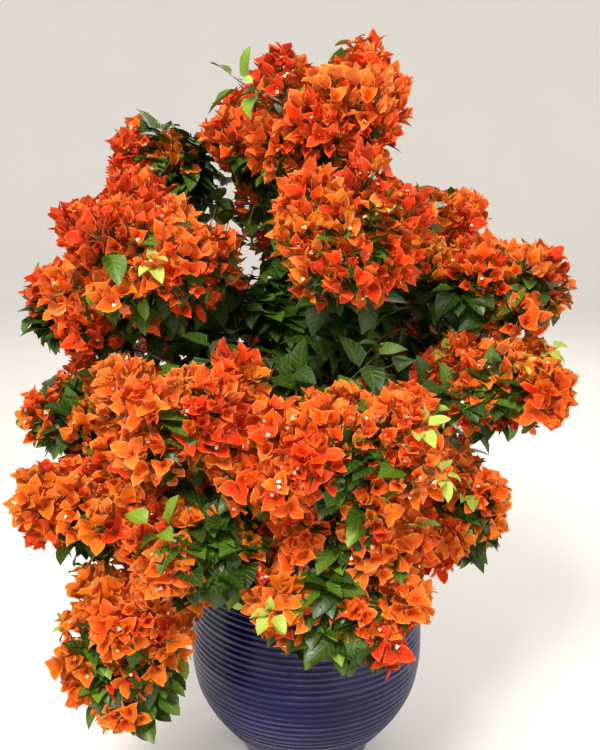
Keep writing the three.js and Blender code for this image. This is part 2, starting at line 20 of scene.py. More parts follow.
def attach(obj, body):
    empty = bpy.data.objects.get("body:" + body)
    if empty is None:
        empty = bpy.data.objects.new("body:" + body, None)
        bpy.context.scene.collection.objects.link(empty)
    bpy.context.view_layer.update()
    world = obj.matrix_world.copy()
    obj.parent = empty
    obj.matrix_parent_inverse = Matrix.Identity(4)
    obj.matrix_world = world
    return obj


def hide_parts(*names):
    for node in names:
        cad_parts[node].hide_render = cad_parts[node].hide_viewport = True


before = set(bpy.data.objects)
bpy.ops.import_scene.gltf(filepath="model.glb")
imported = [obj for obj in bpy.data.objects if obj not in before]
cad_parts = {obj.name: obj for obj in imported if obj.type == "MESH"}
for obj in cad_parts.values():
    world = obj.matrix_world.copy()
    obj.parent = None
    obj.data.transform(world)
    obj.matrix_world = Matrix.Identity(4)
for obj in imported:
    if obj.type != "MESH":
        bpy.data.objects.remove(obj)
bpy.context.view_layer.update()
LOG = logging.getLogger("bougainvillea")
LAYOUT_SEED = 3030
GROWTH_SEED = 1000
MASS_SEED_STEP = 77
SPUR_SEED = 5000
SPUR_SEED_STEP = 91
FULL_TURN = 2 * math.pi
GOLDEN_ANGLE = math.pi * (3 - math.sqrt(5))
MERGE_GAP = 1e-5
MILLIMETRES = 1000
Triple = tuple[float, float, float]
Screen = tuple[int, int, int]


# Numbers, curves and small shapes


class Chance:
    """A repeatable stream of numbers."""

    SPAN = 2**32
    FACTOR = 1664525
    STEP = 1013904223

    def __init__(self, seed: int) -> None:
        """Starts the stream: the same seed gives the same numbers."""
        self.state = seed % self.SPAN

    def share(self) -> float:
        """The next number from 0 to 1."""
        self.state = (self.state * self.FACTOR + self.STEP) % self.SPAN
        return self.state / self.SPAN

    def between(self, low: float, high: float) -> float:
        """The next number, from low to high."""
        return low + (high - low) * self.share()

    def push(self, size: float) -> np.ndarray:
        """A small sideways push, up to a size along each axis."""
        return np.array([self.between(-size, size) for _ in range(3)])

    def pick(self, options: type[Enum], weights: tuple[float, ...]) -> Enum:
        """Picks one of several options.

        Args:
            options: What there is to pick from.
            weights: How often each is picked, in the same order.

        Returns:
            The picked option.
        """
        mark = self.share() * sum(weights)
        for option, weight in zip(options, weights):
            mark -= weight
            if mark <= 0:
                return option
        return list(options)[-1]


def unit(vector: np.ndarray) -> np.ndarray:
    """The direction of a vector."""
    return vector / max(float(np.linalg.norm(vector)), 1e-9)


def point(*values: float) -> np.ndarray:
    """A point as an array."""
    return np.array(values, float)


def clamp(value: float, low: float, high: float) -> float:
    """A value kept from low to high."""
    return min(max(value, low), high)


class Path:
    """A smooth run of points, measured along its own length."""

    def __init__(self, points: np.ndarray) -> None:
        """Keeps the points and how far along each lies.

        Args:
            points: The run, one point a row.
        """
        self.points = points
        steps = np.linalg.norm(np.diff(points, axis=0), axis=1)
        self.marks = np.concatenate([[0.0], np.cumsum(steps)])
        self.length = float(self.marks[-1])

    @classmethod
    def through(cls, bends: list[np.ndarray], fineness: int = 120) -> "Path":
        """A spline through bends, spaced by the root of their distances.

        Args:
            bends: The points that it passes through.
            fineness: How many points it has between two bends.

        Returns:
            The curve.
        """
        whole = [2 * bends[0] - bends[1], *bends, 2 * bends[-1] - bends[-2]]
        run = []
        t = np.linspace(0, 1, fineness, endpoint=False)[:, None]
        for p0, p1, p2, p3 in zip(whole, whole[1:], whole[2:], whole[3:]):
            pairs = ((p0, p1), (p1, p2), (p2, p3))
            d0, d1, d2 = (math.sqrt(np.linalg.norm(b - a)) for a, b in pairs)
            leave = ((p1 - p0) / d0 - (p2 - p0) / (d0 + d1) + (p2 - p1) / d1) * d1
            reach = ((p2 - p1) / d1 - (p3 - p1) / (d1 + d2) + (p3 - p2) / d2) * d1
            bow = -3 * p1 + 3 * p2 - 2 * leave - reach
            turn = 2 * p1 - 2 * p2 + leave + reach
            run.append(p1 + leave * t + bow * t**2 + turn * t**3)
        return cls(np.vstack([*run, bends[-1][None]]))

    @classmethod
    def arch(cls, start: np.ndarray, middle: np.ndarray, end: np.ndarray, count: int) -> "Path":
        """A short arch that leaves its start towards the middle and comes from there to its end."""
        t = np.linspace(0, 1, count)[:, None]
        return cls((1 - t) ** 2 * start + 2 * t * (1 - t) * middle + t**2 * end)

    def at(self, share: float) -> np.ndarray:
        """The point at a share of the length."""
        mark = share * self.length
        return np.array([np.interp(mark, self.marks, self.points[:, k]) for k in range(3)])

    def way(self, share: float) -> np.ndarray:
        """The direction at a share of the length."""
        return unit(self.at(min(share + 0.01, 1)) - self.at(max(share - 0.01, 0)))

    def stretch(self, start: float, end: float, count: int = 60) -> "Path":
        """The part between two shares of the length."""
        return Path(np.array([self.at(share) for share in np.linspace(start, end, count)]))


@dataclass
class Twig:
    """A grown twig: its run, its thickness at both ends, and where its end looks."""

    path: Path
    foot: float
    tip: float
    axis: np.ndarray


def sideways(points: np.ndarray) -> tuple[np.ndarray, np.ndarray]:
    """Two sideways directions at each point of a run, turned as little as possible along it.

    Args:
        points: The run, one point a row.

    Returns:
        The two directions at each point.
    """
    ways = np.gradient(points, axis=0)
    ways /= np.linalg.norm(ways, axis=1)[:, None]
    first = np.zeros_like(points)
    start = point(1, 0, 0) if abs(ways[0][0]) < 0.8 else point(0, 1, 0)
    for k, way in enumerate(ways):
        start = unit(start - way * start.dot(way))
        first[k] = start
    return first, np.cross(ways, first)


def standing(axis: np.ndarray, spin: float) -> np.ndarray:
    """The turn that stands a shape's Z along an axis, spun about it.

    Args:
        axis: Where the shape's Z points.
        spin: The turn about the axis, in radians.

    Returns:
        The turn as a 3 x 3 matrix.
    """
    side = unit(np.cross(axis, point(0, 0, 1) if abs(axis[2]) < 0.9 else point(1, 0, 0)))
    other = np.cross(axis, side)
    along = side * math.cos(spin) + other * math.sin(spin)
    return np.column_stack([along, np.cross(axis, along), axis])


def lying(way: np.ndarray, upward: np.ndarray) -> np.ndarray:
    """The turn that lays a shape's X along a way, with its Z as near as it can to upward."""
    side = unit(np.cross(upward, way))
    return np.column_stack([way, side, np.cross(way, side)])


class Stamp:
    """A small shape that is repeated: its corners, triangles and place on the pattern."""

    def __init__(self, bm: bmesh.types.BMesh) -> None:
        """Takes the shape out of a bmesh and frees it.

        Args:
            bm: The shape.
        """
        bmesh.ops.triangulate(bm, faces=bm.faces[:])
        layer = bm.loops.layers.uv.verify()
        bm.verts.index_update()
        self.corners = np.array([vert.co for vert in bm.verts])
        self.faces = np.array([[vert.index for vert in face.verts] for face in bm.faces])
        self.maps = np.array([[loop[layer].uv for loop in face.loops] for face in bm.faces])
        bm.free()


class Heap:
    """Many small shapes of one kind, joined into one piece."""

    def __init__(self, name: str) -> None:
        """Starts an empty heap.

        Args:
            name: The piece's name.
        """
        self.name = name
        self.corners: list[np.ndarray] = []
        self.faces: list[np.ndarray] = []
        self.maps: list[np.ndarray] = []
        self.filled = 0

    def put(self, corners: np.ndarray, faces: np.ndarray, maps: np.ndarray) -> None:
        """Adds a shape.

        Args:
            corners: Its points, one a row.
            faces: Its triangles, as numbers of points.
            maps: Where each triangle's corners lie on the pattern.
        """
        self.corners.append(corners)
        self.faces.append(faces + self.filled)
        self.maps.append(maps)
        self.filled += len(corners)

    def stamp(self, stamp: Stamp, turn: np.ndarray, at: np.ndarray) -> None:
        """Adds a copy of a stamp, turned and sized by a matrix, at a point."""
        self.put(stamp.corners @ turn.T + at, stamp.faces, stamp.maps)

    def tube(self, points: np.ndarray, radii: np.ndarray, sides: int = 3) -> None:
        """Adds a closed, tapering tube.

        Args:
            points: The run that it follows.
            radii: Its radius at each point.
            sides: How many sides it has.
        """
        first, second = sideways(points)
        angles = (np.arange(sides) * FULL_TURN / sides)[None, :, None]
        spread = first[:, None] * np.cos(angles) + second[:, None] * np.sin(angles)
        corners = (points[:, None] + spread * radii[:, None, None]).reshape(-1, 3)
        faces = []
        for ring in range(len(points) - 1):
            for k in range(sides):
                a, b = ring * sides + k, ring * sides + (k + 1) % sides
                faces += [(a, b, b + sides), (a, b + sides, a + sides)]
        last = (len(points) - 1) * sides
        for k in range(1, sides - 1):
            faces += [(0, k + 1, k), (last, last + k, last + k + 1)]
        self.put(corners, np.array(faces), np.zeros((len(faces), 3, 2)))

    def mesh(self) -> bpy.types.Mesh:
        """Joins everything in the heap.

        Returns:
            The mesh, smooth, with its UV map.
        """
        corners = np.vstack(self.corners)
        faces = np.vstack(self.faces)
        maps = np.vstack([rows.reshape(-1, 2) for rows in self.maps])
        mesh = bpy.data.meshes.new(self.name)
        mesh.vertices.add(len(corners))
        mesh.vertices.foreach_set("co", corners.astype(np.float32).ravel())
        mesh.loops.add(faces.size)
        mesh.loops.foreach_set("vertex_index", faces.astype(np.int32).ravel())
        mesh.polygons.add(len(faces))
        mesh.polygons.foreach_set("loop_start", np.arange(0, faces.size, 3, dtype=np.int32))
        mesh.polygons.foreach_set("use_smooth", np.ones(len(faces), bool))
        layer = mesh.uv_layers.new(name="UVMap")
        layer.uv.foreach_set("vector", maps.astype(np.float32).ravel())
        mesh.update(calc_edges=True)
        return mesh


def spin(bm: bmesh.types.BMesh, verts: list[bmesh.types.BMVert], sides: int) -> None:
    """Joins vertices into a section and spins it round Z into a body.

    Args:
        bm: Where they are.
        verts: The section's vertices in order.
        sides: How many sides the body has.
    """
    edges = [bm.edges.new(pair) for pair in zip(verts, verts[1:])]
    bmesh.ops.spin(
        bm, geom=verts + edges, cent=(0, 0, 0), axis=(0, 0, 1), angle=FULL_TURN, steps=sides,
        use_merge=True,
    )
    bmesh.ops.remove_doubles(bm, verts=bm.verts[:], dist=MERGE_GAP)


def finished(bm: bmesh.types.BMesh, name: str) -> bpy.types.Mesh:
    """Turns a bmesh into a smooth mesh with its faces outwards.

    Args:
        bm: The shape, freed after use.
        name: The mesh's name.

    Returns:
        The mesh.
    """
    bmesh.ops.recalc_face_normals(bm, faces=bm.faces[:])
    for face in bm.faces:
        face.smooth = True
    mesh = bpy.data.meshes.new(name)
    bm.to_mesh(mesh)
    bm.free()
    return mesh


def linked(name: str, data: bpy.types.ID) -> bpy.types.Object:
    """Makes a new object in the scene.

    Args:
        name: Its name.
        data: Its mesh, light or camera.

    Returns:
        The object.
    """
    made = bpy.data.objects.new(name, data)
    bpy.context.scene.collection.objects.link(made)
    return made


def piece(mesh: bpy.types.Mesh, finish: "Finish", slot: str, replaced: list[str]) -> None:
    """Makes a finished piece of the plant from a mesh.

    Args:
        mesh: The mesh, in its place.
        finish: Its finish.
        slot: The record's material slot for it; not used.
        replaced: The solids that it stands for.
    """
    made = linked(mesh.name, mesh)
    mesh.materials.append(finish.material())
    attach(made, "root")
    if replaced:
        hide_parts(*replaced)
    mesh.calc_loop_triangles()
    LOG.info("%s: %d triangles", mesh.name, len(mesh.loop_triangles))


# Finishes


def linear(screen: Screen) -> tuple[float, float, float, float]:
    """A screen colour as the light that a shader works with.

    Args:
        screen: Red, green and blue, from 0 to 255.

    Returns:
        Red, green, blue and alpha, from 0 to 1.
    """
    shares = [value / 255 for value in screen]
    light = [s / 12.92 if s <= 0.04045 else ((s + 0.055) / 1.055) ** 2.4 for s in shares]
    return (*light, 1.0)


class Network:
    """A shader's nodes, added and joined in few words."""

    def __init__(self, tree: bpy.types.NodeTree) -> None:
        """Works on a node tree."""
        self.tree = tree

    def feed(self, node: bpy.types.Node, inputs: dict) -> None:
        """Sets a node's inputs.

        Args:
            node: The node.
            inputs: A value or another node's output for each input, by name or number.
        """
        for name, value in inputs.items():
            if isinstance(value, bpy.types.NodeSocket):
                self.tree.links.new(value, node.inputs[name])
            else:
                node.inputs[name].default_value = value

    def add(self, kind: str, inputs: dict, **settings: object) -> bpy.types.NodeOutputs:
        """Adds a node.

        Args:
            kind: The node's type, without its first words.
            inputs: A value or another node's output for each input, by name or number.
            settings: The node's own settings.

        Returns:
            The node's outputs.
        """
        node = self.tree.nodes.new(f"ShaderNode{kind}")
        for name, value in settings.items():
            setattr(node, name, value)
        self.feed(node, inputs)
        return node.outputs

    def maths(self, operation: str, *values: object) -> bpy.types.NodeSocket:
        """The result of a sum on one or two values."""
        return self.add("Math", dict(enumerate(values)), operation=operation)[0]

    def times(self, value: object, factor: object) -> bpy.types.NodeSocket:
        """A value times a factor."""
        return self.maths("MULTIPLY", value, factor)

    def ramp(self, value: object, low: float, high: float) -> bpy.types.NodeSocket:
        """A value brought smoothly from 0 at low to 1 at high."""
        inputs = {"Value": value, "From Min": low, "From Max": high}
        return self.add("MapRange", inputs, interpolation_type="SMOOTHSTEP")[0]

    def blend(self, share: object, first: object, second: object) -> bpy.types.NodeSocket:
        """A mix of two colours."""
        return self.add("Mix", {0: share, 6: first, 7: second}, data_type="RGBA")[2]

    def bump(
        self, height: object, strength: float, depth: float, **settings: object
    ) -> bpy.types.NodeSocket:
        """The normal of a surface with a height."""
        inputs = {"Height": height, "Strength": strength, "Distance": depth}
        return self.add("Bump", inputs, **settings)[0]


class Socket(Enum):
    """What a node group takes in or gives out."""

    COLOUR = "NodeSocketColor"
    NUMBER = "NodeSocketFloat"
    VECTOR = "NodeSocketVector"


class SharedEffects:
    """The node groups that several finishes use, built once."""

    def __init__(self) -> None:
        """Builds the groups."""
        self.mottle = self.make_mottle()
        self.relief = self.make_relief()
        self.blade = self.make_blade()

    def start(
        self, name: str, takes: dict[str, Socket], gives: dict[str, Socket]
    ) -> tuple[Network, bpy.types.NodeOutputs, bpy.types.Node]:
        """Starts a group.

        Args:
            name: The group's name.
            takes: Its inputs.
            gives: Its outputs.

        Returns:
            Its network, what it is given, and its last node.
        """
        tree = bpy.data.node_groups.new(name, "ShaderNodeTree")
        for way, sockets in (("INPUT", takes), ("OUTPUT", gives)):
            for label, kind in sockets.items():
                tree.interface.new_socket(label, in_out=way, socket_type=kind.value)
        taken = tree.nodes.new("NodeGroupInput").outputs
        return Network(tree), taken, tree.nodes.new("NodeGroupOutput")

    def make_mottle(self) -> bpy.types.NodeTree:
        """A colour that drifts to another in soft patches over the piece.

        Returns:
            The group.
        """
        colour, number = Socket.COLOUR, Socket.NUMBER
        takes = {"Base": colour, "Patch": colour, "Scale": number, "Amount": number}
        net, taken, last = self.start("mottle", takes, {"Color": colour})
        place = net.add("TexCoord", {})["Object"]
        spots = net.add("TexNoise", {"Vector": place, "Scale": taken["Scale"], "Detail": 4.0})[0]
        share = net.times(net.ramp(spots, 0.38, 0.66), taken["Amount"])
        net.feed(last, {"Color": net.blend(share, taken["Base"], taken["Patch"])})
        return net.tree

    def make_relief(self) -> bpy.types.NodeTree:
        """A rough surface, stretched along an axis as grain is.

        Returns:
            The group.
        """
        takes = {"Stretch": Socket.VECTOR, "Scale": Socket.NUMBER, "Roughness": Socket.NUMBER}
        net, taken, last = self.start("relief", takes, {"Height": Socket.NUMBER})
        place = net.add("TexCoord", {})["Object"]
        stretched = net.add("VectorMath", {0: place, 1: taken["Stretch"]}, operation="MULTIPLY")[0]
        inputs = {"Vector": stretched, "Scale": taken["Scale"], "Roughness": taken["Roughness"]}
        net.feed(last, {"Height": net.add("TexNoise", {**inputs, "Detail": 6.0})[0]})
        return net.tree

    def make_blade(self) -> bpy.types.NodeTree:
        """The marks of a bract or leaf: a heart at its foot, a rim, and veins off its midrib.

        Returns:
            The group.
        """
        gives = {name: Socket.NUMBER for name in ("Heart", "Rim", "Veins")}
        net, taken, last = self.start("blade", {"Vein Count": Socket.NUMBER}, gives)
        parts = net.add("SeparateXYZ", {0: net.add("UVMap", {})[0]})
        across = net.maths("ABSOLUTE", net.add("MapRange", {"Value": parts[0], "To Min": -1.0})[0])
        along = parts[1]
        # A vein leaves the midrib and sweeps forward to the margin
        swept = net.maths("SUBTRACT", along, net.times(across, 0.24))
        wave = net.maths("SINE", net.times(swept, taken["Vein Count"]))
        midrib = net.maths("SUBTRACT", 1.0, net.ramp(across, 0.02, 0.14))
        net.feed(last, {
            "Heart": net.maths("SUBTRACT", 1.0, net.ramp(along, 0.02, 0.62)),
            "Rim": net.maths("MAXIMUM", net.ramp(across, 0.72, 1.0), net.ramp(along, 0.84, 1.0)),
            "Veins": net.maths("MAXIMUM", midrib, net.ramp(wave, 0.72, 1.0)),
        })
        return net.tree

    def mottled(
        self, net: Network, base: object, patch: object, scale: float, amount: float
    ) -> bpy.types.NodeSocket:
        """A colour with soft patches of another one."""
        inputs = {"Base": base, "Patch": patch, "Scale": scale, "Amount": amount}
        return net.add("Group", inputs, node_tree=self.mottle)[0]

    def rough(
        self, net: Network, stretch: Triple, scale: float, roughness: float
    ) -> bpy.types.NodeSocket:
        """The height of a rough surface."""
        inputs = {"Stretch": stretch, "Scale": scale, "Roughness": roughness}
        return net.add("Group", inputs, node_tree=self.relief)[0]


@dataclass(frozen=True)
class Finish:
    """A surface: its name and its main colour."""

    effects: ClassVar[SharedEffects]
    even: ClassVar[Triple] = (1.0, 1.0, 1.0)
    name: str
    tint: Screen

    def material(self) -> bpy.types.Material:
        """The material, built when the first piece asks for it.

        Returns:
            The material, the same one for every piece with this finish.
        """
        material = bpy.data.materials.get(self.name)
        if material:
            return material
        material = bpy.data.materials.new(self.name)
        material.use_nodes = True
        net = Network(material.node_tree)
        net.feed(material.node_tree.nodes["Principled BSDF"], self.inputs(net))
        return material

    def inputs(self, net: Network) -> dict:
        """What the shader is given, which each kind of finish works out for itself."""
        raise NotImplementedError


@dataclass(frozen=True)
class PetalFinish(Finish):
    """Papery coloured bracts, deeper at the heart and paler at the rim, with a faint painted glow
    and pale patches painted as highlights.
    """

    heart: Screen
    rim: Screen
    heart_share: float = 0.72
    rim_share: float = 0.45
    vein_share: float = 0.22
    outer_paleness: float = 0.13
    # Painted glow: a faint emission in the bracts' own colour stands in for light shining through
    # them and lifts the shade between florets
    glow: float = 0.05
    roughness: float = 0.62

    def inputs(self, net: Network) -> dict:
        """What the shader is given.

        Args:
            net: The material's nodes.

        Returns:
            The inputs.
        """
        marks = net.add("Group", {"Vein Count": 34.0}, node_tree=self.effects.blade)
        heart, rim = linear(self.heart), linear(self.rim)
        deep = net.blend(net.times(marks["Heart"], self.heart_share), linear(self.tint), heart)
        pale = net.blend(net.times(marks["Rim"], self.rim_share), deep, rim)
        veined = net.blend(net.times(marks["Veins"], self.vein_share), pale, heart)
        shaded = self.effects.mottled(net, veined, heart, 34.0, 0.16)
        # Painted highlights: pale patches of the rim colour, laid at random, stand in for sunlight
        # catching the bracts
        mottled = self.effects.mottled(net, shaded, rim, 57.0, 0.11)
        front = net.maths("SUBTRACT", 1.0, net.add("NewGeometry", {})["Backfacing"])
        sided = net.blend(net.times(front, self.outer_paleness), mottled, rim)
        return {
            "Base Color": sided,
            # Painted glow: the bracts give off a little light in their own colour
            "Emission Color": sided,
            "Emission Strength": self.glow,
            "Normal": net.bump(marks["Veins"], 0.4, 0.0006),
            "Roughness": self.roughness,
            "Specular IOR Level": 0.12,
        }


@dataclass(frozen=True)
class LeafFinish(Finish):
    """Smooth green leaves with a pale midrib and a soft shine."""

    vein: Screen
    shade: Screen
    roughness: float = 0.38
    vein_share: float = 0.35
    under_paleness: float = 0.35

    def inputs(self, net: Network) -> dict:
        """What the shader is given.

        Args:
            net: The material's nodes.

        Returns:
            The inputs.
        """
        marks = net.add("Group", {"Vein Count": 40.0}, node_tree=self.effects.blade)
        vein = linear(self.vein)
        mottled = self.effects.mottled(net, linear(self.tint), linear(self.shade), 22.0, 0.6)
        veined = net.blend(net.times(marks["Veins"], self.vein_share), mottled, vein)
        front = net.maths("SUBTRACT", 1.0, net.add("NewGeometry", {})["Backfacing"])
        return {
            "Base Color": net.blend(net.times(front, self.under_paleness), veined, vein),
            "Normal": net.bump(marks["Veins"], 0.5, 0.0008, invert=True),
            "Roughness": self.roughness,
            "Specular IOR Level": 0.42,
        }


@dataclass(frozen=True)
class PlainFinish(Finish):
    """A smooth, slightly mottled surface that may glow a little."""

    patch: Screen
    roughness: float
    scale: float = 60.0
    amount: float = 0.8
    glow: float = 0.0

    def inputs(self, net: Network) -> dict:
        """What the shader is given.

        Args:
            net: The material's nodes.

        Returns:
            The inputs.
        """
        tint = linear(self.tint)
        base = self.effects.mottled(net, tint, linear(self.patch), self.scale, self.amount)
        light = {"Emission Color": tint, "Emission Strength": self.glow} if self.glow else {}
        return {"Base Color": base, "Roughness": self.roughness, **light}


@dataclass(frozen=True)
class BarkFinish(Finish):
    """Grey-brown wood with furrows along it and paler worn ridges."""

    furrow: Screen
    pale: Screen
    depth: float
    grain: Triple = (1.0, 1.0, 0.16)

    def inputs(self, net: Network) -> dict:
        """What the shader is given.

        Args:
            net: The material's nodes.

        Returns:
            The inputs.
        """
        height = self.effects.rough(net, self.grain, 190.0, 0.62)
        base = self.effects.mottled(net, linear(self.tint), linear(self.pale), 26.0, 0.8)
        return {
            "Base Color": net.blend(net.ramp(height, 0.56, 0.4), base, linear(self.furrow)),
            "Normal": net.bump(height, 0.9, self.depth),
            "Roughness": 0.86,
        }


@dataclass(frozen=True)
class GlazeFinish(Finish):
    """Deep blue glaze, thin and greyer on the ribs' crests and pooled dark between them."""

    pooled: Screen
    thin: Screen
    band: Screen
    cloud: Triple = (1.0, 1.0, 2.4)
    thin_share: float = 0.7

    def inputs(self, net: Network) -> dict:
        """What the shader is given.

        Args:
            net: The material's nodes.

        Returns:
            The inputs.
        """
        crest = net.add("Attribute", {}, attribute_name="crest")["Fac"]
        band = net.add("Attribute", {}, attribute_name="band")["Fac"]
        pooled = linear(self.pooled)
        body = net.blend(net.ramp(crest, 0.0, 0.5), pooled, linear(self.tint))
        cloud = self.effects.rough(net, self.cloud, 5.0, 0.55)
        worn = net.times(net.ramp(crest, 0.66, 1.0), net.ramp(cloud, 0.47, 0.57))
        thinned = net.blend(net.times(worn, self.thin_share), body, linear(self.thin))
        banded = net.blend(band, thinned, linear(self.band))
        speckle = self.effects.rough(net, self.even, 160.0, 0.5)
        dull = net.add("MapRange", {"Value": cloud, "To Min": 0.16, "To Max": 0.36})[0]
        return {
            "Base Color": self.effects.mottled(net, banded, pooled, 5.0, 0.3),
            "Roughness": dull,
            "Normal": net.bump(speckle, 0.12, 0.0008),
            "Coat Weight": 0.14,
            "Coat Roughness": 0.07,
            "Specular IOR Level": 0.2,
        }


@dataclass(frozen=True)
class SoilFinish(Finish):
    """Dark, crumbly potting soil."""

    patch: Screen
    scale: float

    def inputs(self, net: Network) -> dict:
        """What the shader is given.

        Args:
            net: The material's nodes.

        Returns:
            The inputs.
        """
        grain = self.effects.rough(net, self.even, 240.0, 0.7)
        base = self.effects.mottled(net, linear(self.tint), linear(self.patch), self.scale, 1.0)
        return {"Base Color": base, "Normal": net.bump(grain, 1.0, 0.003), "Roughness": 0.95}


class BlossomTint(Enum):
    """The tints that the sprays of bracts are dealt."""

    DEEP = PetalFinish("bract_deep", (198, 44, 4), (152, 18, 2), (236, 134, 74))
    SCARLET = PetalFinish("bract_scarlet", (218, 60, 4), (176, 26, 2), (245, 154, 84))
    ORANGE = PetalFinish("bract_orange", (222, 82, 4), (186, 40, 3), (248, 168, 94))
    BRIGHT = PetalFinish("bract_bright", (230, 106, 9), (198, 58, 5), (251, 196, 124))
    AMBER = PetalFinish("bract_amber", (210, 100, 6), (174, 58, 4), (242, 174, 90))


class LeafTint(Enum):
    """The greens that the leaves are dealt."""

    DARK = LeafFinish("leaf_dark", (42, 68, 14), (92, 120, 40), (27, 50, 11))
    MIDDLE = LeafFinish("leaf_middle", (72, 104, 20), (124, 148, 54), (48, 80, 17))
    FRESH = LeafFinish("leaf_fresh", (114, 146, 34), (158, 184, 78), (86, 122, 26))
    YOUNG = LeafFinish("leaf_young", (164, 182, 72), (214, 216, 120), (146, 170, 54), 0.45)


class PlantFinish(Enum):
    """The plain finishes of twigs, stalks and small flowers."""

    WOOD = PlainFinish("twig_bark", (104, 92, 52), (86, 54, 34), 0.7)
    STALK = PlainFinish("stalk_green", (126, 140, 62), (150, 110, 60), 0.6)
    TUBE = PlainFinish("flower_tube", (214, 96, 58), (190, 120, 66), 0.55)
    STAR = PlainFinish("flower_star", (250, 240, 216), (246, 226, 190), 0.5)


OLD_BARK = BarkFinish("old_bark", (116, 98, 78), (58, 44, 34), (150, 136, 114), 0.004)
YOUNG_BARK = BarkFinish("young_bark", (112, 92, 62), (70, 52, 36), (134, 122, 82), 0.0015)
GLAZE = GlazeFinish("cobalt_glaze", (11, 9, 72), (5, 4, 34), (74, 68, 116), (30, 12, 92))
SOIL = SoilFinish("potting_soil", (52, 36, 26), (30, 21, 16), 90.0)
CHIPS = SoilFinish("bark_chips", (92, 66, 46), (56, 40, 30), 120.0)
PALE_FLOOR = PlainFinish("pale_floor", (226, 222, 216), (220, 216, 210), 0.8, 1.2, 0.4, 0.22)


# Pot and soil


@dataclass
class GlazedPot:
    """The round-bellied pot with fine throwing ribs and a plain band under its rim."""

    MARKS: ClassVar[tuple[str, str]] = ("crest", "band")
    height: float = 0.450
    foot_radius: float = 0.132
    belly_radius: float = 0.240
    wall: float = 0.016
    lining: float = 0.0024
    floor: float = 0.024
    rim_band: float = 0.030
    ribs_start: float = 0.024
    rib_count: int = 32
    rib_depth: float = 0.0028
    points_per_rib: int = 6
    sides: int = 144
    lip_steps: int = 8
    lip_rise: float = 0.005
    lip_swell: float = 0.0005
    # Height as a share of the pot's, and outer radius as a share of the belly's
    belly: tuple[tuple[float, float], ...] = (
        (0.0, 0.55), (0.09, 0.635), (0.18, 0.765), (0.27, 0.88), (0.36, 0.957), (0.47, 0.995),
        (0.6, 1.0), (0.75, 0.983), (0.9, 0.963), (1.0, 0.955),
    )
    # Distance out from the foot's radius, height, and how much of a crest it is
    foot: tuple[Triple, ...] = (
        (-0.012, 0.0, 0.3), (-0.003, 0.0, 0.4), (0.002, 0.003, 0.6), (0.005, 0.010, 0.5),
    )

    def __post_init__(self) -> None:
        """Works out the belly's curve."""
        bends = [point(h * self.height, r * self.belly_radius, 0) for h, r in self.belly]
        self.curve = Path.through(bends, 24).points

    def radius(self, height: float) -> float:
        """The outer radius at a height."""
        return float(np.interp(height, self.curve[:, 0], self.curve[:, 1]))

    def inner(self, height: float) -> float:
        """The inner radius at a height."""
        return self.radius(height) - self.wall - self.lining

    def profile(self) -> list[tuple[float, float, float, float]]:
        """The pot's section, from the middle of its underside, up outside and down inside.

        Returns:
            Radius, height, how much of a crest it is, and how far it belongs to the plain band,
            for each point.
        """
        chance = Chance(31)
        found = [(0.0, 0.0, 0.3, 0.0)]
        found += [(self.foot_radius + out, rise, crest, 0.0) for out, rise, crest in self.foot]
        ribs_end = self.height - self.rim_band
        pitch = (ribs_end - self.ribs_start) / self.rib_count
        for rib in range(self.rib_count):
            depth = self.rib_depth * chance.between(0.75, 1.15)
            shift = chance.between(-0.12, 0.12) * pitch
            for step in range(self.points_per_rib):
                share = step / self.points_per_rib
                crest = (0.5 - 0.5 * math.cos(FULL_TURN * share)) ** 0.7
                height = self.ribs_start + (rib + share) * pitch + shift * crest
                found.append((self.radius(height) - depth * (1 - crest), height, crest, 0.0))
        top = self.height
        lip = self.radius(top)
        found.append((lip - self.rib_depth, ribs_end, 0.0, 0.2))
        found.append((lip + 0.0004, ribs_end + 0.003, 0.5, 1.0))
        found += [(lip + 0.0010, height, 0.5, 1.0) for height in (ribs_end + 0.010, top - 0.008)]
        middle = lip - self.wall / 2 + self.lip_swell
        reach = self.wall / 2 + self.lip_swell
        for step in range(self.lip_steps + 1):
            angle = math.pi * step / self.lip_steps
            height = top - self.lip_rise + self.lip_rise * math.sin(angle)
            found.append((middle + reach * math.cos(angle), height, 0.75, 1.0))
        for height in np.linspace(top - 0.02, self.floor + 0.02, 14):
            found.append((self.inner(height), float(height), 0.4, float(height > top - 0.03)))
        edge = self.radius(self.floor) - self.wall - 0.012
        return found + [(edge, self.floor, 0.3, 0.0), (0.0, self.floor, 0.3, 0.0)]

    def build(self) -> None:
        """Spins the section into the pot and glazes it."""
        bm = bmesh.new()
        layers = [bm.verts.layers.float.new(name) for name in self.MARKS]
        verts = []
        for radius, height, *marks in self.profile():
            verts.append(bm.verts.new((radius, 0, height)))
            for layer, mark in zip(layers, marks):
                verts[-1][layer] = mark
        spin(bm, verts, self.sides)
        piece(finished(bm, "glazed_pot"), GLAZE, "glaze", ["pot"])


